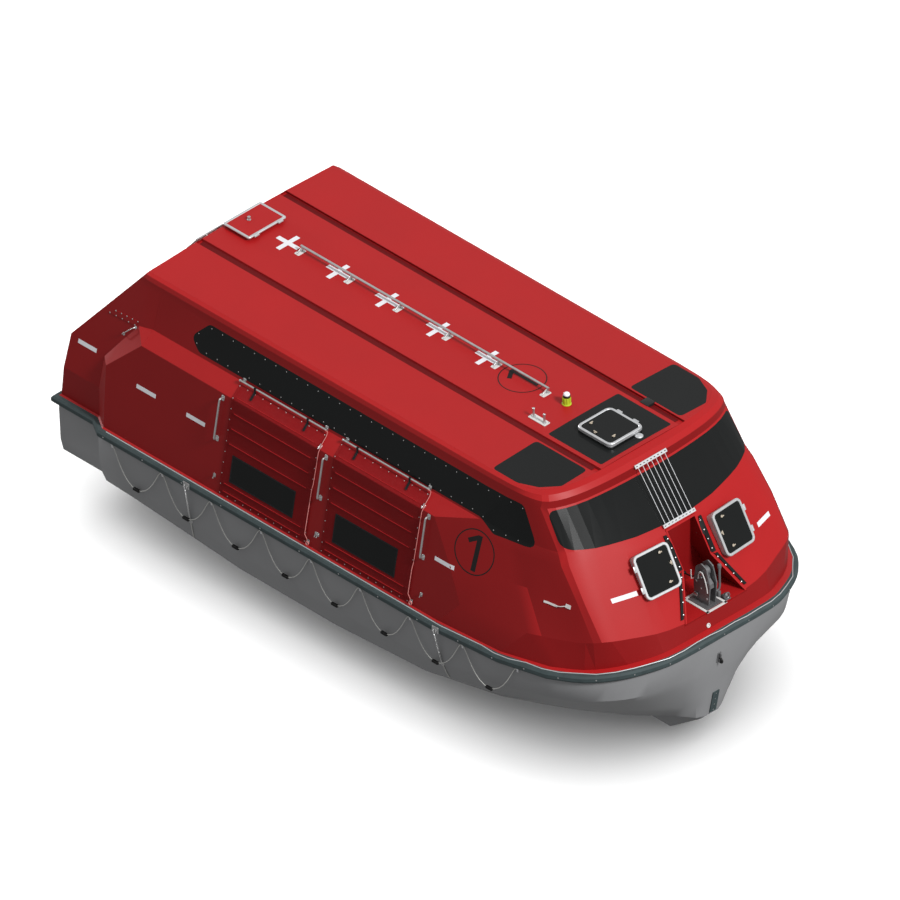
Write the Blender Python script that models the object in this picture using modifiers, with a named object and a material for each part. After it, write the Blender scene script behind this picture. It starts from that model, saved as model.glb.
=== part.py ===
"""Enclosed lifeboat, davit launched, 8.80 m long over its fender.

Metres, +X to the bow, +Y to port, +Z up. The origin lies on the centreline at the light
waterline, midway along the boat. Stations run forward from the fender's aftmost point and
heights run up from the underside of the keel, as on a lines plan.
"""
import bpy
import bmesh
from math import atan2, cos, cosh, pi, radians, sin
from mathutils import Matrix, Vector

# Driving dimensions, metres
LENGTH = 8.80
BEAM = 4.25
HEIGHT = 3.70
DRAUGHT = 0.70
FENDER_DEPTH = 0.065
FENDER_HEIGHT = 0.105
SEAM = 0.0004
WALL = 0.050
PANE = 0.020
COVER = 0.012
HULL_SIDE = 0.080
HALF_BREADTH = BEAM / 2 - FENDER_DEPTH
DECK_HEIGHT = 0.95

# Roof, metres
ROOF_AFT = 1.03
ROOF_FRONT = 7.39
ROOF_CENTRE_HEIGHT = 3.542
GROOVE_OUTER = 0.715
GROOVE_INNER = 0.615
GROOVE_DEPTH = 0.030
SIDE_ROOF_FALL = 0.0376

# Lip of the canopy's flange outside its walls, metres
LIP_SIDE = 0.020
LIP_BOW = 0.075
LIP_RISE = 0.014
LIP_START = 7.15
LIP_TOP = 1.80

# Hooks and running gear, metres
SHAFT_HEIGHT = 0.42
PROPELLER_STATION = 0.75
PROPELLER_RADIUS = 0.235
PROPELLER_PITCH = 0.36
BLADE_ROOT = 0.042
NOZZLE_INNER = 0.262
NOZZLE_OUTER = 0.305
SKEG_AFT = 1.15
KEEL_HALF_WIDTH = 0.08

# Lines plan of the canopy, half breadths: each row holds (station, half breadth, height) at the
# columns transom, quarter, side, four bow columns, corner and centre
FLANGE = [(0.065, 1.93, 1.552), (0.683, 1.93, 1.552), (0.873, 2.05, 1.552), (6.20, HALF_BREADTH, 1.552),
          (7.15, 2.00, 1.565), (7.78, 1.855, 1.585), (8.15, 1.657, 1.61), (8.42, 1.38, 1.645),
          (8.60, 1.05, 1.68), (8.71, 0.72, 1.72), (8.735, 0.0, 1.74)]
KNUCKLE = [(0.115, 1.905, 1.95), (0.68, 1.905, 1.95), (0.84, 1.979, 1.916), (6.50, 1.982, 1.90),
           (7.00, 1.925, 1.91), (7.45, 1.87, 1.93), (8.00, 1.65, 1.965), (8.27, 1.49, 2.015),
           (8.42, 1.15, 1.98), (8.56, 0.70, 1.94), (8.605, 0.0, 1.925)]
WAIST = [(0.13, 1.80, 2.37), (0.67, 1.81, 2.33), (0.79, 1.908, 2.31), (6.28, 1.915, 2.27),
         (6.80, 1.82, 2.34), (7.07, 1.73, 2.36), (7.73, 1.60, 2.42), (8.00, 1.50, 2.43),
         (8.14, 1.17, 2.42), (8.28, 0.70, 2.38), (8.333, 0.0, 2.35)]
KINK = [(0.313, 1.736, 2.60), (0.90, 1.745, 2.64), (1.272, 1.823, 2.778), (5.94, 1.826, 2.76),
        (6.55, 1.73, 2.75), (6.95, 1.665, 2.74), (7.45, 1.58, 2.76), (7.74, 1.475, 2.79),
        (7.89, 1.14, 2.79), (8.01, 0.62, 2.785), (8.055, 0.0, 2.785)]
SHOULDER = [(0.552, 1.653, 2.90), (1.10, 1.69, 2.90), (1.30, 1.666, 2.935), (5.90, 1.666, 2.935),
            (6.50, 1.666, 2.93), (6.90, 1.615, 2.90), (7.36, 1.54, 2.90), (7.65, 1.44, 2.92),
            (7.81, 1.13, 2.90), (7.93, 0.60, 2.87), (7.985, 0.0, 2.86)]
BAND_TOP = [(0.916, 1.527, 3.357), (1.10, 1.544, 3.357), (1.30, 1.544, 3.357), (5.90, 1.544, 3.357),
            (6.50, 1.544, 3.357), (6.85, 1.535, 3.357), (7.13, 1.505, 3.357), (7.33, 1.42, 3.357),
            (7.47, 1.10, 3.355), (7.53, 0.60, 3.35), (7.545, 0.0, 3.345)]
EDGE_LOW = [(0.98, 1.512, 3.437), (1.10, 1.53, 3.44), (1.30, 1.53, 3.44), (5.90, 1.53, 3.44),
            (6.50, 1.53, 3.44), (6.85, 1.52, 3.44), (7.13, 1.488, 3.44), (7.33, 1.39, 3.44),
            (7.46, 1.08, 3.445), (7.525, 0.60, 3.45), (7.54, 0.0, 3.45)]
EDGE_HIGH = [(1.015, 1.497, 3.481), (1.10, 1.508, 3.488), (1.30, 1.508, 3.488), (5.90, 1.508, 3.488),
             (6.50, 1.508, 3.488), (6.84, 1.50, 3.488), (7.10, 1.462, 3.49), (7.285, 1.355, 3.493),
             (7.415, 1.065, 3.50), (7.48, 0.60, 3.51), (7.49, 0.0, 3.51)]
ROOF_RIM_PLAN = [(ROOF_AFT, 1.46), (1.10, 1.46), (1.30, 1.46), (5.90, 1.46), (6.50, 1.46), (6.82, 1.45),
                 (7.05, 1.41), (7.21, 1.31), (7.345, 1.03), (ROOF_FRONT, GROOVE_OUTER), (ROOF_FRONT, 0.0)]

# Lines plan of the hull below the gunwale, at the columns transom, quarter, side, four along the
# run and the middle body, then the same bow columns
HULL_RUN = [(1.30, 0.0), (2.10, 0.0), (3.00, 0.0), (4.50, 0.0)]
HULL_KNUCKLE = [(0.075, 1.915, 0.95), (0.69, 1.915, 0.95), (0.88, 2.035, 1.00), (1.30, 2.035, 0.98),
                (2.10, 2.035, 0.95), (3.00, 2.035, 0.92), (4.50, 2.035, 0.92), (6.00, 2.03, 0.97),
                (7.05, 1.94, 1.10), (7.68, 1.80, 1.15), (8.07, 1.61, 1.17), (8.36, 1.37, 1.20),
                (8.54, 1.08, 1.215), (8.63, 0.70, 1.23), (8.69, 0.20, 1.25)]
HULL_CHINE = [(0.085, 1.88, 0.79), (0.70, 1.88, 0.79), (0.89, 2.00, 0.82), (1.30, 2.00, 0.80),
              (2.10, 1.99, 0.73), (3.00, 1.975, 0.64), (4.50, 1.965, 0.62), (5.94, 1.95, 0.69),
              (6.90, 1.72, 0.71), (7.30, 1.46, 0.67), (7.60, 1.22, 0.625), (7.86, 0.95, 0.57),
              (8.03, 0.70, 0.50), (8.28, 0.38, 0.46), (8.53, 0.10, 0.44)]
HULL_KEEL = [(0.085, 0.09, 0.80), (0.70, 0.09, 0.80), (0.89, 0.09, 0.80), (1.30, 0.09, 0.70),
             (2.10, 0.09, 0.36), (3.00, 0.09, 0.16), (4.50, 0.09, 0.13), (5.94, 0.09, 0.13),
             (6.90, 0.09, 0.14), (7.30, 0.09, 0.155), (7.60, 0.09, 0.175), (7.86, 0.09, 0.20),
             (8.03, 0.09, 0.235), (8.28, 0.09, 0.31), (8.44, 0.09, 0.36)]
DECK_PLAN = [(0.20, 1.78), (0.75, 1.78), (0.95, 1.88), (1.30, 1.90), (2.10, 1.90), (3.00, 1.90),
             (4.50, 1.90), (6.00, 1.88), (6.90, 1.62), (7.30, 1.38), (7.60, 1.12), (7.80, 0.88),
             (7.93, 0.62), (8.08, 0.34), (8.15, 0.0)]

SIDES = {"starboard": -1, "port": 1}

# Turn of a bar's facets about its own axis, so that bars that cross share no edges
OFF_AXIS_TURN = 0.11


def at(station, offset, height):
    """Point on the boat from its station, its offset to port and its height over the keel."""
    return Vector((station - LENGTH / 2, offset, height - DRAUGHT))


# Scene

for old in list(bpy.data.objects):
    bpy.data.objects.remove(old)

boat = bpy.data.collections.new("enclosed_lifeboat")
cutters = bpy.data.collections.new("cutters")
bpy.context.scene.collection.children.link(boat)
bpy.context.scene.collection.children.link(cutters)


def finish(name, colour, roughness, metallic=0.0):
    material = bpy.data.materials.new(name)
    material.use_nodes = True
    shader = material.node_tree.nodes["Principled BSDF"]
    shader.inputs["Base Color"].default_value = (*colour, 1.0)
    shader.inputs["Roughness"].default_value = roughness
    shader.inputs["Metallic"].default_value = metallic
    return material


CANOPY_RED = finish("canopy_red", (0.47, 0.014, 0.016), 0.30)
HULL_GREY = finish("hull_grey", (0.25, 0.25, 0.26), 0.40)
FENDER_RUBBER = finish("fender_rubber", (0.05, 0.07, 0.07), 0.70)
GLAZING = finish("glazing", (0.01, 0.011, 0.011), 0.10)
COVER_CLOTH = finish("cover_cloth", (0.35, 0.012, 0.014), 0.80)
STAINLESS = finish("stainless_steel", (0.60, 0.60, 0.60), 0.28, 1.0)
ALUMINIUM = finish("aluminium_frame", (0.70, 0.70, 0.71), 0.35, 1.0)
BRONZE = finish("bronze", (0.50, 0.33, 0.15), 0.35, 1.0)
ENGINE_PAINT = finish("engine_paint", (0.20, 0.24, 0.28), 0.50)
LAMP_GREEN = finish("lamp_green", (0.45, 0.55, 0.05), 0.40)
LINE_ROPE = finish("line_rope", (0.70, 0.70, 0.68), 0.80)


# Making shapes

def keep(name, mesh, material, origin=None, smooth_angle=30):
    """Make the mesh a piece of the boat, with its own origin where one is given."""
    piece = bpy.data.objects.new(name, mesh)
    boat.objects.link(piece)
    mesh.materials.clear()
    mesh.materials.append(material)
    mesh.shade_smooth()
    mesh.set_sharp_from_angle(angle=radians(smooth_angle))
    if origin is not None:
        mesh.transform(Matrix.Translation(-origin))
        piece.location = origin
    return piece


def as_cutter(piece):
    """Hide a shape that only cuts or joins another."""
    for collection in list(piece.users_collection):
        collection.objects.unlink(piece)
    cutters.objects.link(piece)
    piece.hide_render = True
    piece.display_type = "WIRE"
    return piece


def mesh_of(shape, name):
    shape.normal_update()
    mesh = bpy.data.meshes.new(name)
    shape.to_mesh(mesh)
    shape.free()
    return mesh


def boolean(piece, other, operation):
    modifier = piece.modifiers.new(operation.lower(), "BOOLEAN")
    modifier.operation = operation
    modifier.solver = "EXACT"
    modifier.object = other
    return piece


def rounded(points, radius, steps=4):
    """Outline through the points, with an arc of the radius at each corner."""
    outline = []
    count = len(points)
    for index, corner in enumerate(points):
        here = Vector(corner)
        back = (Vector(points[index - 1]) - here)
        ahead = (Vector(points[(index + 1) % count]) - here)
        half = back.angle(ahead) / 2
        reach = min(radius / abs(max(1e-6, sin(half)) / cos(half)), 0.45 * back.length, 0.45 * ahead.length)
        start = here + back.normalized() * reach
        end = here + ahead.normalized() * reach
        for step in range(steps + 1):
            t = step / steps
            outline.append(start * (1 - t) ** 2 + here * 2 * t * (1 - t) + end * t * t)
    return outline


def grown(points, margin):
    """Anticlockwise outline moved outward by the margin."""
    result = []
    count = len(points)
    for index in range(count):
        here = Vector(points[index])
        back = (here - Vector(points[index - 1])).normalized()
        ahead = (Vector(points[(index + 1) % count]) - here).normalized()
        normals = Vector((back.y, -back.x)) + Vector((ahead.y, -ahead.x))
        normals.normalize()
        scale = margin / max(0.3, normals.dot(Vector((back.y, -back.x))))
        result.append(here + normals * scale)
    return result


def box_outline(low_x, low_y, high_x, high_y):
    return [(low_x, low_y), (high_x, low_y), (high_x, high_y), (low_x, high_y)]


def plate(name, outlines, thickness, placing):
    """Mesh of a flat plate: closed outlines, the first outside, filled and extruded both ways."""
    curve = bpy.data.curves.new(name, "CURVE")
    curve.dimensions = "2D"
    curve.fill_mode = "BOTH"
    curve.extrude = thickness / 2
    for outline in outlines:
        spline = curve.splines.new("POLY")
        spline.points.add(len(outline) - 1)
        for point, corner in zip(spline.points, outline):
            point.co = (corner[0], corner[1], 0, 1)
        spline.use_cyclic_u = True
    return mesh_from_curve(curve, placing)


def tube(name, points, radius, placing=None, resolution=3):
    """Mesh of a round bar through the points."""
    curve = bpy.data.curves.new(name, "CURVE")
    curve.dimensions = "3D"
    curve.bevel_depth = radius
    curve.bevel_resolution = resolution
    curve.use_fill_caps = True
    spline = curve.splines.new("POLY")
    spline.points.add(len(points) - 1)
    for point, place in zip(spline.points, points):
        point.co = (*place, 1)
    return mesh_from_curve(curve, placing or Matrix.Identity(4))


def mesh_from_curve(curve, placing):
    holder = bpy.data.objects.new(curve.name, curve)
    cutters.objects.link(holder)
    bpy.context.view_layer.update()
    evaluated = holder.evaluated_get(bpy.context.evaluated_depsgraph_get())
    mesh = bpy.data.meshes.new_from_object(evaluated)
    bpy.data.objects.remove(holder)
    shape = bmesh.new()
    shape.from_mesh(mesh)
    bmesh.ops.remove_doubles(shape, verts=shape.verts, dist=1e-6)
    bmesh.ops.recalc_face_normals(shape, faces=shape.faces)
    shape.transform(placing)
    shape.to_mesh(mesh)
    shape.free()
    return mesh


def block(name, low, high, bevel=0.0):
    """Mesh of a box between two corners, with its edges rounded off."""
    shape = bmesh.new()
    bmesh.ops.create_cube(shape, size=1.0)
    size = Vector(high) - Vector(low)
    middle = (Vector(high) + Vector(low)) / 2
    shape.transform(Matrix.Translation(middle) @ Matrix.Diagonal((*size, 1.0)))
    if bevel:
        bmesh.ops.bevel(shape, geom=shape.edges, offset=bevel, segments=2, affect="EDGES", profile=0.5)
    return mesh_of(shape, name)


def rod(name, start, end, radius, segments=16, end_radius=None):
    """Mesh of a cylinder or cone between two points."""
    shape = bmesh.new()
    run = Vector(end) - Vector(start)
    bmesh.ops.create_cone(shape, cap_ends=True, segments=segments, radius1=radius,
                          radius2=radius if end_radius is None else end_radius, depth=run.length)
    shape.transform(Matrix.Rotation(OFF_AXIS_TURN, 4, "Z"))
    turn = run.to_track_quat("Z", "Y").to_matrix().to_4x4()
    shape.transform(Matrix.Translation((Vector(start) + Vector(end)) / 2) @ turn)
    return mesh_of(shape, name)


def turned(name, profile, origin, axis="Z", steps=32):
    """Piece turned from a profile of (radius, distance along the axis) with a Screw modifier."""
    mesh = bpy.data.meshes.new(name)
    shape = bmesh.new()
    corners = [shape.verts.new((radius, 0, along)) for radius, along in profile]
    for index, corner in enumerate(corners[:-1]):
        shape.edges.new((corner, corners[index + 1]))
    shape.to_mesh(mesh)
    shape.free()
    piece = bpy.data.objects.new(name, mesh)
    cutters.objects.link(piece)
    screw = piece.modifiers.new("turn", "SCREW")
    screw.steps = steps
    screw.render_steps = steps
    screw.use_merge_vertices = True
    screw.merge_threshold = 0.0001
    bpy.context.view_layer.update()
    evaluated = piece.evaluated_get(bpy.context.evaluated_depsgraph_get())
    result = bpy.data.meshes.new_from_object(evaluated)
    bpy.data.objects.remove(piece)
    if axis == "X":
        result.transform(Matrix.Rotation(radians(90), 4, "Y"))
    result.transform(Matrix.Translation(origin))
    return result


def fused(name, meshes, material, origin=None, smooth_angle=30):
    """One piece from meshes that cross, joined by Boolean unions."""
    first = keep(name, meshes[0], material, smooth_angle=smooth_angle)
    for index, mesh in enumerate(meshes[1:]):
        other = bpy.data.objects.new(f"{name}_join_{index}", mesh)
        boat.objects.link(other)
        boolean(first, as_cutter(other), "UNION")
    bpy.context.view_layer.update()
    evaluated = first.evaluated_get(bpy.context.evaluated_depsgraph_get())
    joined = bpy.data.meshes.new_from_object(evaluated)
    for modifier in list(first.modifiers):
        other = modifier.object
        first.modifiers.remove(modifier)
        bpy.data.objects.remove(other)
    bpy.data.objects.remove(first)
    shape = bmesh.new()
    shape.from_mesh(joined)
    bmesh.ops.dissolve_degenerate(shape, edges=shape.edges, dist=1e-7)
    shape.to_mesh(joined)
    shape.free()
    return keep(name, joined, material, origin, smooth_angle)


# The canopy's skin

def eased(row, sharp_columns, pieces=3):
    """Row of points with smooth stretches between its bow columns."""
    points = [Vector(point) for point in row]
    result = points[:sharp_columns]
    last = len(points) - 1
    for index in range(sharp_columns, last + 1):
        start = points[index - 1]
        end = points[index]
        before = points[index - 2] if index > sharp_columns else start - (end - start) * 0.5
        after = points[index + 1] if index < last else Vector((start.x, -start.y, start.z))
        for step in range(1, pieces + 1):
            t = step / pieces
            square = 2 * before - 5 * start + 4 * end - after
            cube = 3 * start - before - 3 * end + after
            point = 0.5 * (2 * start + (end - before) * t + square * t ** 2 + cube * t ** 3)
            result.append(point if step < pieces else end.copy())
    return result


def side_roof_height(half_breadth):
    return ROOF_CENTRE_HEIGHT - 0.009 - SIDE_ROOF_FALL * max(0.0, half_breadth - GROOVE_OUTER)


def plan_inset(row, inset):
    """Plan row moved inboard, square to its run."""
    result = []
    for index, (x, y, z) in enumerate(row):
        back = row[max(0, index - 1)]
        ahead = row[min(len(row) - 1, index + 1)]
        run = Vector((ahead[0] - back[0], ahead[1] - back[1]))
        if index == len(row) - 1:
            run = Vector((0, -1))
        run.normalize()
        result.append((x + run.y * inset, y - run.x * inset, z))
    return result


def foot_row():
    """Foot of the canopy's walls, inboard of the flange by a lip that widens round the bow."""
    row = []
    for index, (station, _, height) in enumerate(FLANGE):
        share = max(0.0, (station - LIP_START) / (FLANGE[-1][0] - LIP_START))
        inset = LIP_SIDE + (LIP_BOW - LIP_SIDE) * share
        x, y, _ = plan_inset(FLANGE, inset)[index]
        row.append((x + (LIP_SIDE if index == 0 else 0.0), y, height + LIP_RISE))
    return row


ROOF_RIM = [(x, y, side_roof_height(y)) for x, y in ROOF_RIM_PLAN]
CANOPY_ROWS = [eased(row, 6) for row in
               (FLANGE, foot_row(), KNUCKLE, WAIST, KINK, SHOULDER, BAND_TOP, EDGE_LOW, EDGE_HIGH, ROOF_RIM)]
CROWNED_ROWS = (8, 9)
QUARTER_COLUMN = 2
BOW_COLUMN = 3
STERN_PANEL, STARBOARD_PANEL, PORT_PANEL, BOW_PANEL = range(4)


def canopy_skin():
    """Outer skin of stern, sides and bow as one open mesh, its panels told by material index."""
    shape = bmesh.new()
    crown = shape.verts.layers.float.new("crown")
    columns = len(CANOPY_ROWS[0])
    grid = {}
    for sign in (-1, 1):
        for row_index, row in enumerate(CANOPY_ROWS):
            for column, point in enumerate(row):
                if column == columns - 1 and sign == 1:
                    grid[sign, row_index, column] = grid[-1, row_index, column]
                    continue
                grid[sign, row_index, column] = shape.verts.new(at(point.x, sign * point.y, point.z))
    rows = len(CANOPY_ROWS)
    for sign in (-1, 1):
        for row in range(rows - 1):
            for column in range(columns - 1):
                ring = [grid[sign, row, column], grid[sign, row, column + 1],
                        grid[sign, row + 1, column + 1], grid[sign, row + 1, column]]
                face = shape.faces.new(ring if sign < 0 else ring[::-1])
                if column < QUARTER_COLUMN:
                    face.material_index = STERN_PANEL
                elif column < BOW_COLUMN:
                    face.material_index = STARBOARD_PANEL if sign < 0 else PORT_PANEL
                else:
                    face.material_index = BOW_PANEL
    across = {}
    for row in range(rows):
        edge = CANOPY_ROWS[row][0]
        line = [grid[-1, row, 0]]
        for fraction in (-0.5, 0.0, 0.5):
            place = shape.verts.new(at(edge.x, fraction * edge.y, edge.z))
            if row in CROWNED_ROWS:
                place[crown] = side_roof_height(abs(fraction) * edge.y) - side_roof_height(edge.y)
            line.append(place)
        line.append(grid[1, row, 0])
        across[row] = line
    for row in range(rows - 1):
        for step in range(4):
            face = shape.faces.new([across[row][step + 1], across[row][step],
                                    across[row + 1][step], across[row + 1][step + 1]])
            face.material_index = STERN_PANEL
    bmesh.ops.triangulate(shape, faces=shape.faces)
    shape.normal_update()
    return shape


def skin_normals(shape):
    """Unit normals with their mitre factors, level at the flange's lip and upright at the roof rim."""
    normals = {}
    for vertex in shape.verts:
        normal = vertex.normal.copy()
        factor = min(1.6, vertex.calc_shell_factor())
        if vertex.co.z < LIP_TOP - DRAUGHT:
            normal.z = 0
            normal.normalize()
            factor = 1.0
        elif vertex.is_boundary:
            normal, factor = Vector((0, 0, 1)), 1.0
        normals[vertex.index] = normal * factor
    return normals


def panel(skin, wanted, thickness, lift=0.0, seam=SEAM):
    """Closed mesh of the skin's wanted panels, from the lift over the skin down by the thickness."""
    skin.verts.index_update()
    crown = skin.verts.layers.float["crown"]
    normals = skin_normals(skin)
    shape = bmesh.new()
    outer, inner = {}, {}
    faces = [face for face in skin.faces if face.material_index in wanted]
    chosen = {vertex for face in faces for vertex in face.verts}
    for vertex in chosen:
        shared = any(face.material_index not in wanted for face in vertex.link_faces)
        place = vertex.co.copy()
        if shared:
            own = [face.calc_center_median() for face in vertex.link_faces if face.material_index in wanted]
            middle = sum(own, Vector()) / len(own)
            place.x += seam if middle.x > place.x else -seam
        raised = Vector((0, 0, vertex[crown]))
        outer[vertex.index] = shape.verts.new(place + normals[vertex.index] * lift + raised)
        inner[vertex.index] = shape.verts.new(place - normals[vertex.index] * (thickness - lift))
    for face in faces:
        indices = [vertex.index for vertex in face.verts]
        shape.faces.new([outer[index] for index in indices])
        shape.faces.new([inner[index] for index in reversed(indices)])
        for loop in face.loops:
            edge = loop.edge
            inside = [other for other in edge.link_faces if other.material_index in wanted]
            if len(inside) == 1:
                start, end = loop.vert.index, loop.link_loop_next.vert.index
                if start < end:
                    shape.faces.new([outer[end], outer[start], inner[end]])
                    shape.faces.new([outer[start], inner[start], inner[end]])
                else:
                    shape.faces.new([outer[end], outer[start], inner[start]])
                    shape.faces.new([outer[end], inner[start], inner[end]])
    return mesh_of(shape, "panel")


skin = canopy_skin()
side_wall = {
    "starboard": keep("side_wall_starboard", panel(skin, {STARBOARD_PANEL}, WALL), CANOPY_RED),
    "port": keep("side_wall_port", panel(skin, {PORT_PANEL}, WALL), CANOPY_RED),
}
canopy_bow = keep("canopy_bow", panel(skin, {BOW_PANEL}, WALL), CANOPY_RED)
canopy_stern = keep("canopy_stern", panel(skin, {STERN_PANEL}, WALL), CANOPY_RED)


# The roof

def roof_side(side):
    """Flat roof plate outboard of a groove, falling a little to its rim."""
    sign = SIDES[side]
    rim = [point for point in CANOPY_ROWS[-1] if point.y > GROOVE_OUTER - 1e-6]
    shape = bmesh.new()
    outline = [(ROOF_AFT + SEAM, GROOVE_OUTER)]
    outline += [(point.x, point.y) for point in rim]
    inset = []
    for index, (x, y) in enumerate(outline):
        pull_x = SEAM if index <= 1 else (-SEAM if index > 5 else 0.0)
        pull_y = -2 * SEAM if y > GROOVE_OUTER + 0.001 else SEAM
        inset.append((max(x, ROOF_AFT) + pull_x, y + pull_y))
    top = [shape.verts.new(at(x, sign * y, side_roof_height(y))) for x, y in inset]
    bottom = [shape.verts.new(at(x, sign * y, side_roof_height(y) - WALL)) for x, y in inset]
    shape.faces.new(top)
    shape.faces.new(bottom[::-1])
    for index in range(len(inset)):
        following = (index + 1) % len(inset)
        shape.faces.new([top[index], bottom[index], bottom[following], top[following]])
    bmesh.ops.recalc_face_normals(shape, faces=shape.faces)
    return keep(f"roof_{side}", mesh_of(shape, "roof"), CANOPY_RED)


roof_sides = {side: roof_side(side) for side in SIDES}
GROOVE_FLOOR = ROOF_CENTRE_HEIGHT - 0.009 - GROOVE_DEPTH
ROOF_UNDERSIDE = GROOVE_FLOOR - 0.043
roof_section = [(-GROOVE_OUTER, ROOF_UNDERSIDE), (GROOVE_OUTER, ROOF_UNDERSIDE),
                (GROOVE_OUTER, GROOVE_FLOOR), (GROOVE_INNER + 0.01, GROOVE_FLOOR),
                (GROOVE_INNER, ROOF_CENTRE_HEIGHT - 0.008), (0.3, ROOF_CENTRE_HEIGHT - 0.002),
                (0.0, ROOF_CENTRE_HEIGHT), (-0.3, ROOF_CENTRE_HEIGHT - 0.002),
                (-GROOVE_INNER, ROOF_CENTRE_HEIGHT - 0.008), (-GROOVE_INNER - 0.01, GROOVE_FLOOR),
                (-GROOVE_OUTER, GROOVE_FLOOR)]
upright = Matrix(((0, 0, 1, 0), (1, 0, 0, 0), (0, 1, 0, 0), (0, 0, 0, 1)))
roof_middle = (ROOF_AFT + ROOF_FRONT) / 2
roof_center = keep("roof_center", plate("roof", [roof_section], ROOF_FRONT - ROOF_AFT - 4 * SEAM,
                                        Matrix.Translation(at(roof_middle, 0, 0)) @ upright), CANOPY_RED)


# Windows

def prism(name, outline, axis, low, high):
    """Cutter through the boat along an axis, from an outline in the two other directions."""
    along = (low + high) / 2
    if axis == "X":
        placing = Matrix.Translation(at(along, 0, 0)) @ upright
    elif axis == "Y":
        placing = Matrix.Translation(at(0, along, 0)) @ Matrix.Rotation(radians(90), 4, "X")
    else:
        placing = Matrix.Translation(at(0, 0, along))
    mesh = plate(name, [outline], high - low, placing)
    shape = bpy.data.objects.new(name, mesh)
    boat.objects.link(shape)
    return as_cutter(shape)


def window(name, outline, radius, axis, low, high, walls, whole):
    """Pane set flush in the skin, and its opening in the walls."""
    corners = rounded(outline, radius)
    pane = keep(name, whole, GLAZING)
    boolean(pane, prism(f"{name}_outline", corners, axis, low, high), "INTERSECT")
    opening = prism(f"{name}_opening", grown(corners, SEAM), axis, low, high)
    for wall in walls:
        boolean(wall, opening, "DIFFERENCE")
    return pane


FRONT_WINDOW = [(-1.46, 2.955), (-1.12, 2.905), (-0.60, 2.865), (0.0, 2.855), (0.60, 2.865), (1.12, 2.905),
                (1.46, 2.955), (1.43, 3.335), (1.10, 3.335), (0.0, 3.325), (-1.10, 3.335), (-1.43, 3.335)]
SIDE_WINDOW = [(2.02, 2.975), (6.50, 2.955), (6.72, 2.83), (7.32, 2.845), (7.06, 3.325), (2.09, 3.345),
               (1.86, 3.11)]
front_window = window("front_window", FRONT_WINDOW, 0.09, "X", 6.5, 8.6, [canopy_bow],
                      panel(skin, {BOW_PANEL}, PANE))
for side, sign in SIDES.items():
    reach = (-2.2, -1.0) if sign < 0 else (1.0, 2.2)
    window(f"side_window_{side}", SIDE_WINDOW, 0.10, "Y", *reach, [side_wall[side], canopy_bow],
           panel(skin, {STARBOARD_PANEL, PORT_PANEL, BOW_PANEL}, PANE))


def roof_window(name, outline, radius, roof):
    """Pane let into a roof plate."""
    corners = rounded(outline, radius)
    pane = keep(name, roof.data.copy(), GLAZING)
    boolean(pane, prism(f"{name}_outline", corners, "Z", 3.46, 3.70), "INTERSECT")
    opening = prism(f"{name}_opening", grown(corners, SEAM), "Z", 3.40, 3.70)
    boolean(roof, opening, "DIFFERENCE")
    return pane


ROOF_WINDOW_AFT = 6.46
center_outline = box_outline(ROOF_WINDOW_AFT + 0.02, -0.56, 7.33, 0.56)
roof_window_center = roof_window("roof_window_center", center_outline, 0.03, roof_center)
side_outline = [(6.48, 0.74), (7.29, 0.74), (7.29, 1.15), (7.12, 1.34), (6.88, 1.445), (6.48, 1.445)]
for side, sign in SIDES.items():
    if sign > 0:
        outline = side_outline
    else:
        outline = [(x, -y) for x, y in reversed(side_outline)]
    roof_window(f"roof_window_{side}", outline, 0.06, roof_sides[side])


# Hull

def gunwale_row():
    """Hull top edge under the canopy flange, with the columns that only the hull has."""
    row = list(FLANGE[:3])
    side_start, side_end = FLANGE[2], FLANGE[3]
    for station, _ in HULL_RUN:
        t = (station - side_start[0]) / (side_end[0] - side_start[0])
        row.append((station, side_start[1] + (side_end[1] - side_start[1]) * t, side_start[2]))
    row += FLANGE[3:]
    return row


def lowered(row, drop):
    return [(x, y, z - drop) for x, y, z in row]


def between(upper, lower, share):
    """Row at a share of the way from the upper row down to the lower."""
    return [tuple(Vector(high).lerp(Vector(low), share)) for high, low in zip(upper, lower)]


HULL_SHARP = 10
RIM_FALL = 0.012
gunwale = lowered(gunwale_row(), SEAM)
keel_centre = [(x, 0.0, z) for x, y, z in HULL_KEEL]
flare = [between(HULL_KNUCKLE, HULL_CHINE, share) for share in (0.25, 0.5, 0.75)]
hull_outer = [eased(row, HULL_SHARP) for row in
              (gunwale, lowered(gunwale, 0.20), HULL_KNUCKLE, *flare, HULL_CHINE, HULL_KEEL, keel_centre)]
STEM_ROWS = range(2, len(hull_outer) - 1)
inner_rim = [(max(x, 0.065 + HULL_SIDE), y, z) for x, y, z in plan_inset(gunwale, HULL_SIDE)]
inner_rim[-1] = (gunwale[-1][0] - HULL_SIDE, 0.0, gunwale[-1][2])
inner_rim = lowered(inner_rim, RIM_FALL)
hull_inner = [eased(inner_rim, HULL_SHARP),
              eased([(x, y, DECK_HEIGHT) for x, y in DECK_PLAN], HULL_SHARP)]


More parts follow.
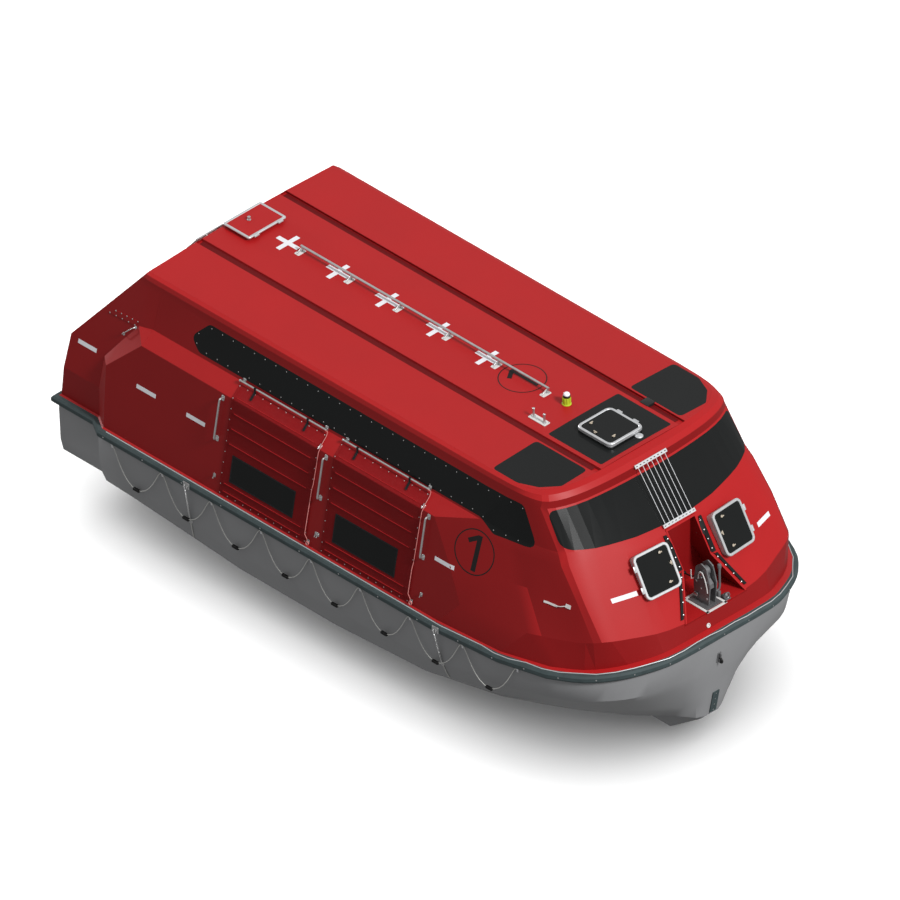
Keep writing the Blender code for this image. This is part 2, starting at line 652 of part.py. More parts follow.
def hull_mesh():
    """Tub: outer shell, flat rim under the canopy, inner sides and the deck."""
    shape = bmesh.new()
    columns = len(hull_outer[0])
    made = {}

    def corner(sign, row, column):
        rows = hull_outer + hull_inner
        point = rows[row][column]
        centred = row == len(hull_outer) - 1 or (column == columns - 1 and row not in STEM_ROWS)
        side = 0 if centred else sign
        key = (side, row, column)
        if key not in made:
            made[key] = shape.verts.new(at(point.x, side * point.y, point.z))
        return made[key]

    def strip(upper, lower, flip):
        for sign in (-1, 1):
            for column in range(columns - 1):
                ring = [corner(sign, lower, column), corner(sign, lower, column + 1),
                        corner(sign, upper, column + 1), corner(sign, upper, column)]
                ring = list(dict.fromkeys(ring))
                if len(ring) > 2:
                    shape.faces.new(ring if (sign < 0) != flip else ring[::-1])

    for row in range(len(hull_outer) - 1):
        strip(row, row + 1, False)
    rim, deck = len(hull_outer), len(hull_outer) + 1
    strip(rim, 0, False)
    strip(rim, deck, True)
    last = columns - 1
    for row in (1, *STEM_ROWS):
        ring = [corner(-1, row, last), corner(-1, row + 1, last), corner(1, row + 1, last),
                corner(1, row, last)]
        ring = list(dict.fromkeys(ring))
        if len(ring) > 2:
            shape.faces.new(ring)
    transom = [corner(-1, row, 0) for row in range(len(hull_outer))]
    transom += [corner(1, row, 0) for row in reversed(range(len(hull_outer) - 1))]
    shape.faces.new(transom)
    shape.faces.new([corner(-1, rim, 0), corner(-1, 0, 0), corner(1, 0, 0), corner(1, rim, 0)])
    shape.faces.new([corner(-1, deck, 0), corner(-1, rim, 0), corner(1, rim, 0), corner(1, deck, 0)])
    floor = [corner(-1, deck, column) for column in range(columns)]
    floor += [corner(1, deck, column) for column in reversed(range(columns - 1))]
    shape.faces.new(floor)
    bmesh.ops.recalc_face_normals(shape, faces=shape.faces)
    return mesh_of(shape, "hull")


hull = keep("hull", hull_mesh(), HULL_GREY)


# Keel and skeg

keel_line = [(point.x, point.z - SEAM) for point in eased(HULL_KEEL, HULL_SHARP)[3:-1]]
keel_outline = [(0.50, 0.0), (7.95, 0.0), (8.435, 0.345)]
keel_outline += list(reversed(keel_line))
keel_outline += [(SKEG_AFT, keel_line[0][1]), (SKEG_AFT, 0.06), (0.50, 0.06)]
edge_on = Matrix.Rotation(radians(90), 4, "X")
keel_skeg = keep("keel_skeg", plate("keel", [keel_outline], 2 * KEEL_HALF_WIDTH,
                                    Matrix.Translation(at(0, 0, 0)) @ edge_on), HULL_GREY)


# Fender round the gunwale

def fender_mesh():
    """D section swept round the boat against the hull, mitred at the stern corners."""
    half = [Vector((x, y, z)) for x, y, z in eased(gunwale, HULL_SHARP)]
    path = [Vector((p.x, -p.y, p.z)) for p in half] + [p.copy() for p in reversed(half[:-1])]
    section = [(SEAM, -FENDER_HEIGHT), (0.7 * FENDER_DEPTH, -0.95 * FENDER_HEIGHT),
               (FENDER_DEPTH, -0.70 * FENDER_HEIGHT), (FENDER_DEPTH, -0.30 * FENDER_HEIGHT),
               (0.7 * FENDER_DEPTH, -0.05 * FENDER_HEIGHT), (SEAM, 0.0)]
    shape = bmesh.new()
    rings = []
    count = len(path)
    for index, place in enumerate(path):
        back = (place - path[index - 1]).to_2d().normalized()
        ahead = (path[(index + 1) % count] - place).to_2d().normalized()
        out = Vector((back.y, -back.x)) + Vector((ahead.y, -ahead.x))
        out.normalize()
        mitre = 1 / max(0.5, out.dot(Vector((back.y, -back.x))))
        rings.append([shape.verts.new(at(place.x + out.x * depth * mitre, place.y + out.y * depth * mitre,
                                         place.z + height)) for depth, height in section])
    for index in range(count):
        here, there = rings[index], rings[(index + 1) % count]
        for step in range(len(section)):
            after = (step + 1) % len(section)
            shape.faces.new([here[step], there[step], there[after], here[after]])
    bmesh.ops.recalc_face_normals(shape, faces=shape.faces)
    return mesh_of(shape, "fender")


fender = keep("fender", fender_mesh(), FENDER_RUBBER)


# Lifelines

LINE_DIAMETER = 0.010
LINE_SAG = 0.43
LINE_DEPTH = 0.035
LINE_STATIONS = (1.056, 1.854, 2.638, 3.432, 4.226, 5.010, 5.804, 6.617, 7.401)
LINE_STEPS = (0.0, 0.035, 0.09, 0.18, 0.32, 0.5, 0.68, 0.82, 0.91, 0.965)
CATENARY = 1.7
ROUNDING = 0.058


def line_fixing(station):
    """Centre of the lifeline where it passes under the fender."""
    row = eased(gunwale, HULL_SHARP)
    for start, end in zip(row, row[1:]):
        if start.x <= station <= end.x:
            place = start.lerp(end, (station - start.x) / (end.x - start.x))
    under_fender = place.z - 0.961 * FENDER_HEIGHT
    return Vector((station, place.y + LINE_DEPTH, under_fender - LINE_DIAMETER / 2 - SEAM))


def line_drop(share, span):
    """How far a loop hangs at a share of its span: a catenary with its tops rounded off."""
    half = span / 2
    away = min(share, 1 - share) * span
    near, far = (away ** 2 + ROUNDING ** 2) ** 0.5 - ROUNDING, (half ** 2 + ROUNDING ** 2) ** 0.5 - ROUNDING
    return LINE_SAG * (1 - (cosh(CATENARY * (1 - near / far)) - 1) / (cosh(CATENARY) - 1))


def lifeline_route(sign):
    """Points of the line that hangs in loops along one side of the fender."""
    points = []
    fixings = [line_fixing(station) for station in LINE_STATIONS]
    for start, end in zip(fixings, fixings[1:]):
        for share in LINE_STEPS:
            place = start.lerp(end, share)
            points.append(at(place.x, sign * place.y, place.z - line_drop(share, end.x - start.x)))
    points.append(at(fixings[-1].x, sign * fixings[-1].y, fixings[-1].z))
    return points


for side, sign in SIDES.items():
    line = tube("lifeline", lifeline_route(sign), LINE_DIAMETER / 2, resolution=2)
    keep(f"lifeline_{side}", line, LINE_ROPE)


# Hook wells

TRAY = 0.020


def well(name, section, low, high, hollow_ends, trim, wall):
    """Open tray let into the canopy: floor, sides and end, cut off at the skin."""
    outside = grown(section, TRAY)
    placing = Matrix.Translation(at((low + high) / 2, 0, 0)) @ upright
    tray = keep(name, plate(name, [outside], high - low, placing), CANOPY_RED)
    boolean(tray, prism(f"{name}_hollow", section, "X", *hollow_ends), "DIFFERENCE")
    boolean(tray, prism(f"{name}_trim", trim, "Y", -0.8, 0.8), "INTERSECT")
    boolean(wall, prism(f"{name}_opening", grown(outside, SEAM), "X", low - 0.015, high + 0.3), "DIFFERENCE")


WELL_FLOOR = 1.925
STERN_WELL_FLOOR = 1.97
BOW_WELL_BACK = 7.975
STERN_WELL_FRONT = 0.80
bow_section = [(-0.465, WELL_FLOOR), (0.465, WELL_FLOOR), (0.215, 2.40), (0.215, 2.80), (-0.215, 2.80),
               (-0.215, 2.40)]
bow_trim = [(7.90, 1.89), (8.600, 1.89), (8.600, 1.93), (8.028, 2.822), (7.90, 2.822)]
well("bow_hook_well", bow_section, BOW_WELL_BACK - TRAY, 8.75, (BOW_WELL_BACK, 8.85), bow_trim, canopy_bow)
stern_section = [(-0.25, STERN_WELL_FLOOR), (0.25, STERN_WELL_FLOOR), (0.25, 3.19), (-0.25, 3.19)]
stern_trim = [(0.122, 1.90), (0.86, 1.90), (0.86, 3.26), (0.808, 3.20), (0.138, 2.372), (0.122, 1.96)]
well("stern_hook_well", stern_section, -0.08, STERN_WELL_FRONT + TRAY, (-0.3, STERN_WELL_FRONT), stern_trim,
     canopy_stern)


# Release hooks

def hook_frame(name, station, floor, facing):
    """Base plate with two upright cheeks and the pin between them."""
    base = block(name, at(station - 0.155, -0.12, floor + SEAM), at(station + 0.155, 0.12, floor + 0.014),
                 0.002)
    profile = [(-0.115, 0.010), (0.115, 0.010), (0.135, 0.30), (0.075, 0.50), (-0.01, 0.54), (-0.09, 0.47),
               (-0.125, 0.28)]
    profile = [(facing * x, z) for x, z in profile]
    if facing < 0:
        profile.reverse()
    parts = [base]
    for offset in (-0.052, 0.052):
        parts.append(plate("cheek", [rounded(profile, 0.03)], 0.016,
                           Matrix.Translation(at(station, offset, floor)) @ edge_on))
    for along, up in ((0.0, 0.42), (-0.07 * facing, 0.10)):
        start = at(station + along, -0.075, floor + up)
        parts.append(rod("pin", start, start + Vector((0, 0.15, 0)), 0.018))
    return fused(name, parts, STAINLESS)


def hook(name, station, floor, facing):
    """Hook plate between the cheeks: eye round the pin, throat open forward, tail below."""
    pivot = at(station, 0, floor + 0.42)
    outline = []
    for step in range(17):
        angle = radians(200 - 15 * step)
        outline.append((0.060 * cos(angle), 0.060 * sin(angle)))
    outline += [(0.055, -0.09), (0.105, -0.135), (0.115, -0.19), (0.080, -0.225), (0.035, -0.235),
                (0.000, -0.205), (-0.012, -0.15), (-0.045, -0.08)]
    outline = [(facing * x, z) for x, z in outline]
    bore = [(0.0187 * cos(radians(-15 * step)), 0.0187 * sin(radians(-15 * step))) for step in range(24)]
    mesh = plate(name, [outline, bore], 0.060, Matrix.Translation(pivot) @ edge_on)
    return keep(name, mesh, STAINLESS, pivot)


BOW_HOOK_STATION = 8.425
STERN_HOOK_STATION = 0.42
bow_hook_frame = hook_frame("bow_hook_frame", BOW_HOOK_STATION, WELL_FLOOR, 1)
bow_hook = hook("bow_hook", BOW_HOOK_STATION, WELL_FLOOR, 1)
stern_hook_frame = hook_frame("stern_hook_frame", STERN_HOOK_STATION, STERN_WELL_FLOOR, -1)
stern_hook = hook("stern_hook", STERN_HOOK_STATION, STERN_WELL_FLOOR, -1)


# Hatches

def hatch(stem, placing, width, length, skin_lift, walls, hinge, lid_name):
    """Coaming ring let through the wall and a lid over it, turned about the hinge edge.

    The placing puts local X along the hatch's length, local Y across it and local Z out of the
    wall. The hinge is a local (x, y) direction of unit length towards the hinged edge.
    """
    outer = rounded(box_outline(-length / 2, -width / 2, length / 2, width / 2), 0.07)
    coaming_outer = grown(outer, -0.020)
    coaming_inner = grown(outer, -0.050)
    hole = grown(coaming_outer, SEAM)
    bottom, top = -WALL - 0.01, skin_lift
    middle = placing @ Matrix.Translation((0, 0, (bottom + top) / 2))
    ring = plate("coaming", [coaming_outer, coaming_inner], top - bottom, middle)
    keep(f"{stem}_coaming{lid_name}", ring, ALUMINIUM)
    opening = bpy.data.objects.new(f"{stem}_opening{lid_name}", plate("opening", [hole], 0.40, placing))
    boat.objects.link(opening)
    as_cutter(opening)
    for wall in walls:
        boolean(wall, opening, "DIFFERENCE")
    lid_low, lid_high = skin_lift + SEAM, skin_lift + 0.032
    lid_place = placing @ Matrix.Translation((0, 0, (lid_low + lid_high) / 2))
    reach = (length / 2 if hinge[0] else width / 2) + 0.014
    pivot = placing @ Vector((hinge[0] * reach, hinge[1] * reach, (lid_low + lid_high) / 2))
    material = CANOPY_RED if stem == "aft_hatch" else ALUMINIUM
    keep(f"{stem}_lid{lid_name}", plate("lid", [outer], lid_high - lid_low, lid_place), material, pivot)


def framed(origin, x_axis, z_axis):
    """Placing matrix from an origin, a local X direction and an outward direction."""
    out = Vector(z_axis).normalized()
    along = (Vector(x_axis) - out * Vector(x_axis).dot(out)).normalized()
    across = out.cross(along)
    placing = Matrix((along, across, out)).transposed().to_4x4()
    return Matrix.Translation(origin) @ placing


HATCH_OFFSET = 0.60
for side, sign in SIDES.items():
    centre = at(8.225, sign * HATCH_OFFSET, 2.535)
    slope = (-0.555, -sign * 0.02, 0.87)
    outward = (0.86, sign * 0.12, 0.50)
    hatch("bow_hatch", framed(centre, slope, outward), 0.50, 0.54, 0.022, [canopy_bow],
          (0, 1) if sign < 0 else (0, -1), f"_{side}")
roof_hatch_place = framed(at(6.93, -0.02, ROOF_CENTRE_HEIGHT), (1, 0, 0), (0, 0, 1))
hatch("roof_hatch", roof_hatch_place, 0.54, 0.55, 0.022, [roof_center, roof_window_center], (0, 1), "")
aft_hatch_place = framed(at(1.25, 0.0, ROOF_CENTRE_HEIGHT), (1, 0, 0), (0, 0, 1))
hatch("aft_hatch", aft_hatch_place, 0.60, 0.42, 0.014, [roof_center], (1, 0), "")


# Side covers over the boarding openings

COVER_SPANS = {"aft": (2.71, 4.10), "forward": (4.33, 5.74)}
COVER_TOP = 2.92
OPENING_MARGIN = 0.07
for side, sign in SIDES.items():
    reach = (-2.3, -1.3) if sign < 0 else (1.3, 2.3)
    for place, (start, end) in COVER_SPANS.items():
        wanted = {STARBOARD_PANEL if sign < 0 else PORT_PANEL}
        cover = keep(f"side_cover_{place}_{side}", panel(skin, wanted, COVER, COVER + SEAM), COVER_CLOTH)
        boolean(cover, prism(f"cover_{place}_{side}_outline", box_outline(start, 1.58, end, COVER_TOP), "Y",
                             *reach), "INTERSECT")
        hole = rounded(box_outline(start + OPENING_MARGIN, 1.68, end - OPENING_MARGIN,
                                   COVER_TOP - OPENING_MARGIN), 0.08)
        boolean(side_wall[side], prism(f"boarding_{place}_{side}", hole, "Y", *reach), "DIFFERENCE")


# Grab handles

HANDLE_STATIONS = (2.58, 4.225, 5.86)
HANDLE_LOW, HANDLE_HIGH = 2.21, 2.72
HANDLE_NAMES = ("aft", "middle", "forward")


def wall_offset(height):
    """Half breadth of the straight side wall between its knuckle and its kink."""
    low, high = KNUCKLE[2], KINK[2]
    return low[1] + (high[1] - low[1]) * (height - low[2]) / (high[2] - low[2])


for side, sign in SIDES.items():
    for label, station in zip(HANDLE_NAMES, HANDLE_STATIONS):
        foot = Vector((wall_offset(HANDLE_LOW), HANDLE_LOW))
        head = Vector((wall_offset(HANDLE_HIGH), HANDLE_HIGH))
        up = (head - foot).normalized()
        out = Vector((up.y, -up.x))
        route = [foot + out * SEAM, foot + out * 0.035, foot + out * 0.050 + up * 0.008,
                 foot + out * 0.055 + up * 0.025, head + out * 0.055 - up * 0.025,
                 head + out * 0.050 - up * 0.008, head + out * 0.035, head + out * SEAM]
        points = [at(station, sign * place.x, place.y) for place in route]
        keep(f"grab_handle_{label}_{side}", tube("handle", points, 0.012), STAINLESS)


# Roof rail

RAIL_HEIGHT = 3.608
RAIL_AFT, RAIL_FORWARD, RAIL_POSTS = 2.012, 5.917, 6
rail_start, rail_end = at(RAIL_AFT, 0, RAIL_HEIGHT), at(RAIL_FORWARD, 0, RAIL_HEIGHT)
overhang = Vector((0.02, 0, 0))
rail_parts = [rod("rail", rail_start - overhang, rail_end + overhang, 0.016)]
for index in range(RAIL_POSTS):
    head = rail_start.lerp(rail_end, index / (RAIL_POSTS - 1))
    foot = Vector((head.x, 0, ROOF_CENTRE_HEIGHT + SEAM - DRAUGHT))
    rail_parts.append(rod("post", foot + Vector((0, 0, 0.008)), head, 0.010))
    rail_parts.append(rod("foot", foot, foot + Vector((0, 0, 0.010)), 0.026))
roof_rail = fused("roof_rail", rail_parts, STAINLESS)


# Window guard

def window_guard():
    """Two bars across the front window with seven rods between them."""
    upper, lower = at(7.540, 0, 3.440), at(7.996, 0, 2.848)
    run = (lower - upper).normalized()
    out = Vector((-run.z, 0, run.x)) * -1
    if out.x < 0:
        out = -out
    placing_upper = framed(upper + out * 0.022, (0, 1, 0), out)
    placing_lower = framed(lower + out * 0.022, (0, 1, 0), out)
    bar = [box_outline(-0.25, -0.022, 0.25, 0.022)]
    parts = [plate("bar", bar, 0.012, placing_upper), plate("bar", bar, 0.012, placing_lower)]
    for index in range(7):
        across = Vector((0, -0.21 + 0.07 * index, 0))
        parts.append(rod("line", upper + out * 0.022 + across, lower + out * 0.022 + across, 0.004, 8))
    for end, clear in ((upper, 0.0054), (lower, -0.0001)):
        for across in (-0.22, 0.22):
            foot = end + Vector((0, across, 0))
            parts.append(rod("stud", foot + out * clear, foot + out * 0.022, 0.008, 8))
    return fused("window_guard", parts, ALUMINIUM)


window_guard()


# Boarding ladder stowed over the stern's slope

def boarding_ladder():
    top, bottom = at(0.970, 0, 3.4245), at(0.827, 0, 3.245)
    down = (bottom - top).normalized()
    out = Vector((-down.z, 0, down.x))
    if out.z < 0:
        out = -out
    lift = out * 0.055
    parts = []
    for place in (top, bottom):
        start, end = place + lift + Vector((0, -0.60, 0)), place + lift + Vector((0, 0.38, 0))
        parts.append(rod("rail", start, end, 0.011, 12))
    for index in range(13):
        across = Vector((0, -0.58 + 0.078 * index, 0))
        parts.append(rod("rung", top + lift + across, bottom + lift + across, 0.007, 8))
    for place in (top, bottom):
        for across in (-0.45, 0.25):
            foot = place + Vector((0, across, 0))
            parts.append(rod("foot", foot + out * 2 * SEAM, foot + lift, 0.009, 8))
    return fused("boarding_ladder", parts, STAINLESS)


boarding_ladder()


# Position light

LAMP_HEIGHT = HEIGHT - ROOF_CENTRE_HEIGHT
lamp_profile = [(0.0, LAMP_HEIGHT), (0.018, 0.152), (0.030, 0.135), (0.034, 0.115), (0.034, 0.105),
                (0.040, 0.095), (0.046, 0.030), (0.052, 0.020), (0.052, SEAM), (0.0, SEAM)]
keep("position_light", turned("lamp", lamp_profile, at(6.22, 0, ROOF_CENTRE_HEIGHT)), LAMP_GREEN)


# Engine

keep("engine_block", block("engine", at(1.55, -0.36, DECK_HEIGHT + SEAM), at(2.65, 0.36, 1.75), 0.03),
     ENGINE_PAINT)


# Running gear

shaft_centre = at(PROPELLER_STATION, 0, SHAFT_HEIGHT)


def blade(index):
    """One twisted propeller blade, thin at its edges."""
    sections, chord_steps = 6, 4
    shape = bmesh.new()
    rings = []
    for radial in range(sections):
        r = BLADE_ROOT + (PROPELLER_RADIUS - BLADE_ROOT) * radial / (sections - 1)
        chord = 0.19 * sin(pi * (0.12 + 0.70 * radial / (sections - 1)))
        pitch = atan2(PROPELLER_PITCH, 2 * pi * r)
        front, back = [], []
        for step in range(chord_steps + 1):
            s = step / chord_steps - 0.5
            half_thickness = 0.001 + 0.005 * (1 - 4 * s * s)
            for line, face in ((front, 1), (back, -1)):
                along = s * chord * sin(pitch) + face * half_thickness * cos(pitch)
                around = (s * chord * cos(pitch) - face * half_thickness * sin(pitch)) / r
                line.append(shape.verts.new((along, r * cos(around), r * sin(around))))
        rings.append(front + back[::-1])
    count = len(rings[0])
    for inner, outer in zip(rings, rings[1:]):
        for step in range(count):
            after = (step + 1) % count
            shape.faces.new([inner[step], inner[after], outer[after], outer[step]])
    shape.faces.new(rings[0])
    shape.faces.new(rings[-1])
    bmesh.ops.recalc_face_normals(shape, faces=shape.faces)
    shape.transform(Matrix.Translation(shaft_centre) @ Matrix.Rotation(radians(90 * index), 4, "X"))
    return mesh_of(shape, "blade")


ahead = Vector((1, 0, 0))
shaft_end = at(SKEG_AFT - SEAM, 0, SHAFT_HEIGHT)
hub_parts = [rod("hub", shaft_centre - 0.09 * ahead, shaft_centre + 0.09 * ahead, 0.055, 24),
             rod("cone", shaft_centre - 0.085 * ahead, shaft_centre - 0.16 * ahead, 0.050, 24, 0.018),
             rod("shaft", shaft_centre + 0.08 * ahead, shaft_end, 0.024, 20)]
hub_parts += [blade(index) for index in range(4)]
propeller = fused("propeller", hub_parts, BRONZE, shaft_centre)


def steering_nozzle():
    """Ring round the propeller on an upright stock and a lower pin."""
    half = 0.15
    profile = [(NOZZLE_OUTER - 0.012, half), (NOZZLE_OUTER, half - 0.05), (NOZZLE_OUTER - 0.010, -half),
               (NOZZLE_INNER + 0.006, -half), (NOZZLE_INNER, -0.04), (NOZZLE_INNER + 0.002, 0.06),
               (NOZZLE_OUTER - 0.022, half), (NOZZLE_OUTER - 0.012, half)]
    ring = turned("nozzle", profile, shaft_centre, axis="X", steps=40)
    stock_top = 0.80 - SEAM
    parts = [ring, rod("stock", at(PROPELLER_STATION, 0, SHAFT_HEIGHT + NOZZLE_OUTER - 0.03),
                       at(PROPELLER_STATION, 0, stock_top), 0.028, 20),
             rod("pin", at(PROPELLER_STATION, 0, SHAFT_HEIGHT - NOZZLE_OUTER + 0.03),
                 at(PROPELLER_STATION, 0, 0.06 + SEAM), 0.024, 20)]
    return fused("steering_nozzle", parts, HULL_GREY, at(PROPELLER_STATION, 0, SHAFT_HEIGHT))


steering_nozzle()
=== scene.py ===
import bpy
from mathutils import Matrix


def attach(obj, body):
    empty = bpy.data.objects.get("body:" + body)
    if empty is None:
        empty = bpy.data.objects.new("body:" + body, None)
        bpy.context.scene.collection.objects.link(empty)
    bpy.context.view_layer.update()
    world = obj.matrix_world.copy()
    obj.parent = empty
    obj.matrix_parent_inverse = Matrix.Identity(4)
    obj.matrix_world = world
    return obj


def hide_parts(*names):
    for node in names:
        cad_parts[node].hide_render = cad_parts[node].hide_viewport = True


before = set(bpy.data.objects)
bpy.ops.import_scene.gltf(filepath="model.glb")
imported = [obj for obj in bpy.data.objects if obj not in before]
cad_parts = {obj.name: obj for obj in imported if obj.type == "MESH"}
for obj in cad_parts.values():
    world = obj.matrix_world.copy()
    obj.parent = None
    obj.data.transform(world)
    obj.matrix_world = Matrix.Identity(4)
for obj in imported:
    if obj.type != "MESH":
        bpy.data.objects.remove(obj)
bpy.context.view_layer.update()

from math import cos, cosh, pi, radians, sin

import bmesh
import bpy
from mathutils import Matrix, Vector, noise
from mathutils.bvhtree import BVHTree

# Stations run forward from the fender's aftmost point and heights up from the keel, in metres
LENGTH = 8.80
DRAUGHT = 0.70
SIDES = {"starboard": -1, "port": 1}
PHOTO_SCALE = 88.8
PHOTO_WIDTH = 900


def at(station, offset, height):
    return Vector((station - LENGTH / 2, offset, height - DRAUGHT))


# Camera, stage and light

def make_camera():
    data = bpy.data.cameras.new("camera")
    data.type = "ORTHO"
    data.ortho_scale = PHOTO_WIDTH / PHOTO_SCALE
    data.clip_end = 200
    camera = bpy.data.objects.new("camera", data)
    bpy.context.scene.collection.objects.link(camera)
    elevation, azimuth = radians(35.264), radians(-45)
    away = Vector((cos(elevation) * cos(azimuth), cos(elevation) * sin(azimuth), sin(elevation)))
    target = Vector((-0.038, 0.0, 1.275))
    camera.location = target + away * 40
    camera.rotation_euler = away.to_track_quat("Z", "Y").to_euler()
    bpy.context.scene.camera = camera


def make_stage():
    mesh = bpy.data.meshes.new("floor")
    half, low = 60.0, -DRAUGHT - 0.002
    mesh.from_pydata([(-half, -half, low), (half, -half, low), (half, half, low), (-half, half, low)], [],
                     [(0, 1, 2, 3)])
    floor = bpy.data.objects.new("floor", mesh)
    bpy.context.scene.collection.objects.link(floor)
    material = bpy.data.materials.new("floor")
    material.use_nodes = True
    shader = material.node_tree.nodes["Principled BSDF"]
    shader.inputs["Base Color"].default_value = (0.94, 0.94, 0.94, 1)
    shader.inputs["Roughness"].default_value = 1.0
    shader.inputs["Specular IOR Level"].default_value = 0.0
    mesh.materials.append(material)
    floor.visible_diffuse = False
    floor.visible_glossy = False
    return floor


def sun(name, towards, strength, angle, shadow=True):
    data = bpy.data.lights.new(name, "SUN")
    data.energy = strength
    data.angle = radians(angle)
    data.use_shadow = shadow
    lamp = bpy.data.objects.new(name, data)
    lamp.rotation_euler = Vector(towards).to_track_quat("Z", "Y").to_euler()
    bpy.context.scene.collection.objects.link(lamp)
    return lamp


def limit_light(lamp, floor, only_floor):
    """The lamp lights the floor alone, or all but the floor."""
    group = bpy.data.collections.new(f"{lamp.name}_receivers")
    group.objects.link(floor)
    group.collection_objects[0].light_linking.link_state = "INCLUDE" if only_floor else "EXCLUDE"
    lamp.light_linking.receiver_collection = group


def make_world():
    """White studio that is brighter overhead than underneath."""
    world = bpy.data.worlds.new("studio")
    bpy.context.scene.world = world
    world.use_nodes = True
    nodes, links = world.node_tree.nodes, world.node_tree.links
    background = nodes["Background"]
    background.inputs["Strength"].default_value = 0.70
    place = nodes.new("ShaderNodeTexCoord")
    split = nodes.new("ShaderNodeSeparateXYZ")
    links.new(place.outputs["Generated"], split.inputs["Vector"])
    ramp = nodes.new("ShaderNodeMapRange")
    ramp.inputs["From Min"].default_value = -0.3
    ramp.inputs["From Max"].default_value = 0.3
    ramp.inputs["To Min"].default_value = 0.42
    ramp.inputs["To Max"].default_value = 1.0
    links.new(split.outputs["Z"], ramp.inputs["Value"])
    links.new(ramp.outputs["Result"], background.inputs["Color"])


def make_light(floor):
    make_world()
    limit_light(sun("key", (0.895, 0.0, 0.80), 3.75, 12), floor, False)
    limit_light(sun("floor_light", (0.1, -0.1, 1.0), 3.3, 90), floor, True)
    limit_light(sun("stern_light", (-1.0, 0.0, 0.12), 1.2, 6), floor, False)
    bpy.context.scene.view_settings.view_transform = "Standard"
    bpy.context.scene.view_settings.look = "None"


make_camera()
floor = make_stage()
make_light(floor)


# Materials

def tint(colour, factor):
    return (*(min(1.0, channel * factor) for channel in colour), 1.0)


def surface(name, colour, roughness, metallic=0.0, coat=0.0, mottle=0.06, mottle_scale=1.5, grain=0.0, grain_scale=90.0,
            specular=0.5, weave=0.0, painted_steep_shade=1.0):
    """Shader with a slow drift of colour and sheen, a fine grain or weave in its normals, and painted shade: a darker
    base colour on steep faces, set by how far the face normal turns from up, where the steep-shade factor is below 1."""
    material = bpy.data.materials.new(name)
    material.use_nodes = True
    nodes, links = material.node_tree.nodes, material.node_tree.links
    shader = nodes["Principled BSDF"]
    shader.inputs["Metallic"].default_value = metallic
    shader.inputs["Coat Weight"].default_value = coat
    shader.inputs["Coat Roughness"].default_value = 0.08
    shader.inputs["Specular IOR Level"].default_value = specular
    place = nodes.new("ShaderNodeTexCoord")
    drift = nodes.new("ShaderNodeTexNoise")
    drift.inputs["Scale"].default_value = mottle_scale
    drift.inputs["Detail"].default_value = 5.0
    drift.inputs["Roughness"].default_value = 0.6
    links.new(place.outputs["Object"], drift.inputs["Vector"])
    ramp = nodes.new("ShaderNodeValToRGB")
    ramp.color_ramp.elements[0].position, ramp.color_ramp.elements[1].position = 0.3, 0.7
    ramp.color_ramp.elements[0].color = tint(colour, 1 - mottle)
    ramp.color_ramp.elements[1].color = tint(colour, 1 + mottle)
    links.new(drift.outputs["Fac"], ramp.inputs["Fac"])
    colour_out = ramp.outputs["Color"]
    # Painted shade: the base colour darkens on steep faces, standing in for shade the lamps don't give.
    if painted_steep_shade < 1:
        facing = nodes.new("ShaderNodeNewGeometry")
        split = nodes.new("ShaderNodeSeparateXYZ")
        links.new(facing.outputs["Normal"], split.inputs["Vector"])
        steep_shade_ramp = nodes.new("ShaderNodeMapRange")
        steep_shade_ramp.inputs["From Min"].default_value = 0.36
        steep_shade_ramp.inputs["From Max"].default_value = 0.50
        steep_shade_ramp.inputs["To Min"].default_value = painted_steep_shade
        steep_shade_ramp.inputs["To Max"].default_value = 1.0
        links.new(split.outputs["Z"], steep_shade_ramp.inputs["Value"])
        painted_shade_scale = nodes.new("ShaderNodeVectorMath")
        painted_shade_scale.operation = "SCALE"
        links.new(colour_out, painted_shade_scale.inputs[0])
        links.new(steep_shade_ramp.outputs["Result"], painted_shade_scale.inputs["Scale"])
        colour_out = painted_shade_scale.outputs["Vector"]
    links.new(colour_out, shader.inputs["Base Color"])
    sheen = nodes.new("ShaderNodeMapRange")
    sheen.inputs["To Min"].default_value = roughness * 0.85
    sheen.inputs["To Max"].default_value = min(1.0, roughness * 1.15)
    links.new(drift.outputs["Fac"], sheen.inputs["Value"])
    links.new(sheen.outputs["Result"], shader.inputs["Roughness"])
    height = None
    if grain:
        fine = nodes.new("ShaderNodeTexNoise")
        fine.inputs["Scale"].default_value = grain_scale
        fine.inputs["Detail"].default_value = 3.0
        links.new(place.outputs["Object"], fine.inputs["Vector"])
        height = fine.outputs["Fac"]
    if weave:
        threads = []
        for direction in "XZ":
            wave = nodes.new("ShaderNodeTexWave")
            wave.bands_direction = direction
            wave.inputs["Scale"].default_value = 100.0
            wave.inputs["Distortion"].default_value = 0.4
            links.new(place.outputs["Object"], wave.inputs["Vector"])
            threads.append(wave.outputs["Fac"])
        cross = nodes.new("ShaderNodeMath")
        cross.operation = "MAXIMUM"
        links.new(threads[0], cross.inputs[0])
        links.new(threads[1], cross.inputs[1])
        height = cross.outputs["Value"]
    if height is not None:
        bump = nodes.new("ShaderNodeBump")
        bump.inputs["Strength"].default_value = 0.5
        bump.inputs["Distance"].default_value = max(grain, weave)
        links.new(height, bump.inputs["Height"])
        links.new(bump.outputs["Normal"], shader.inputs["Normal"])
    return material
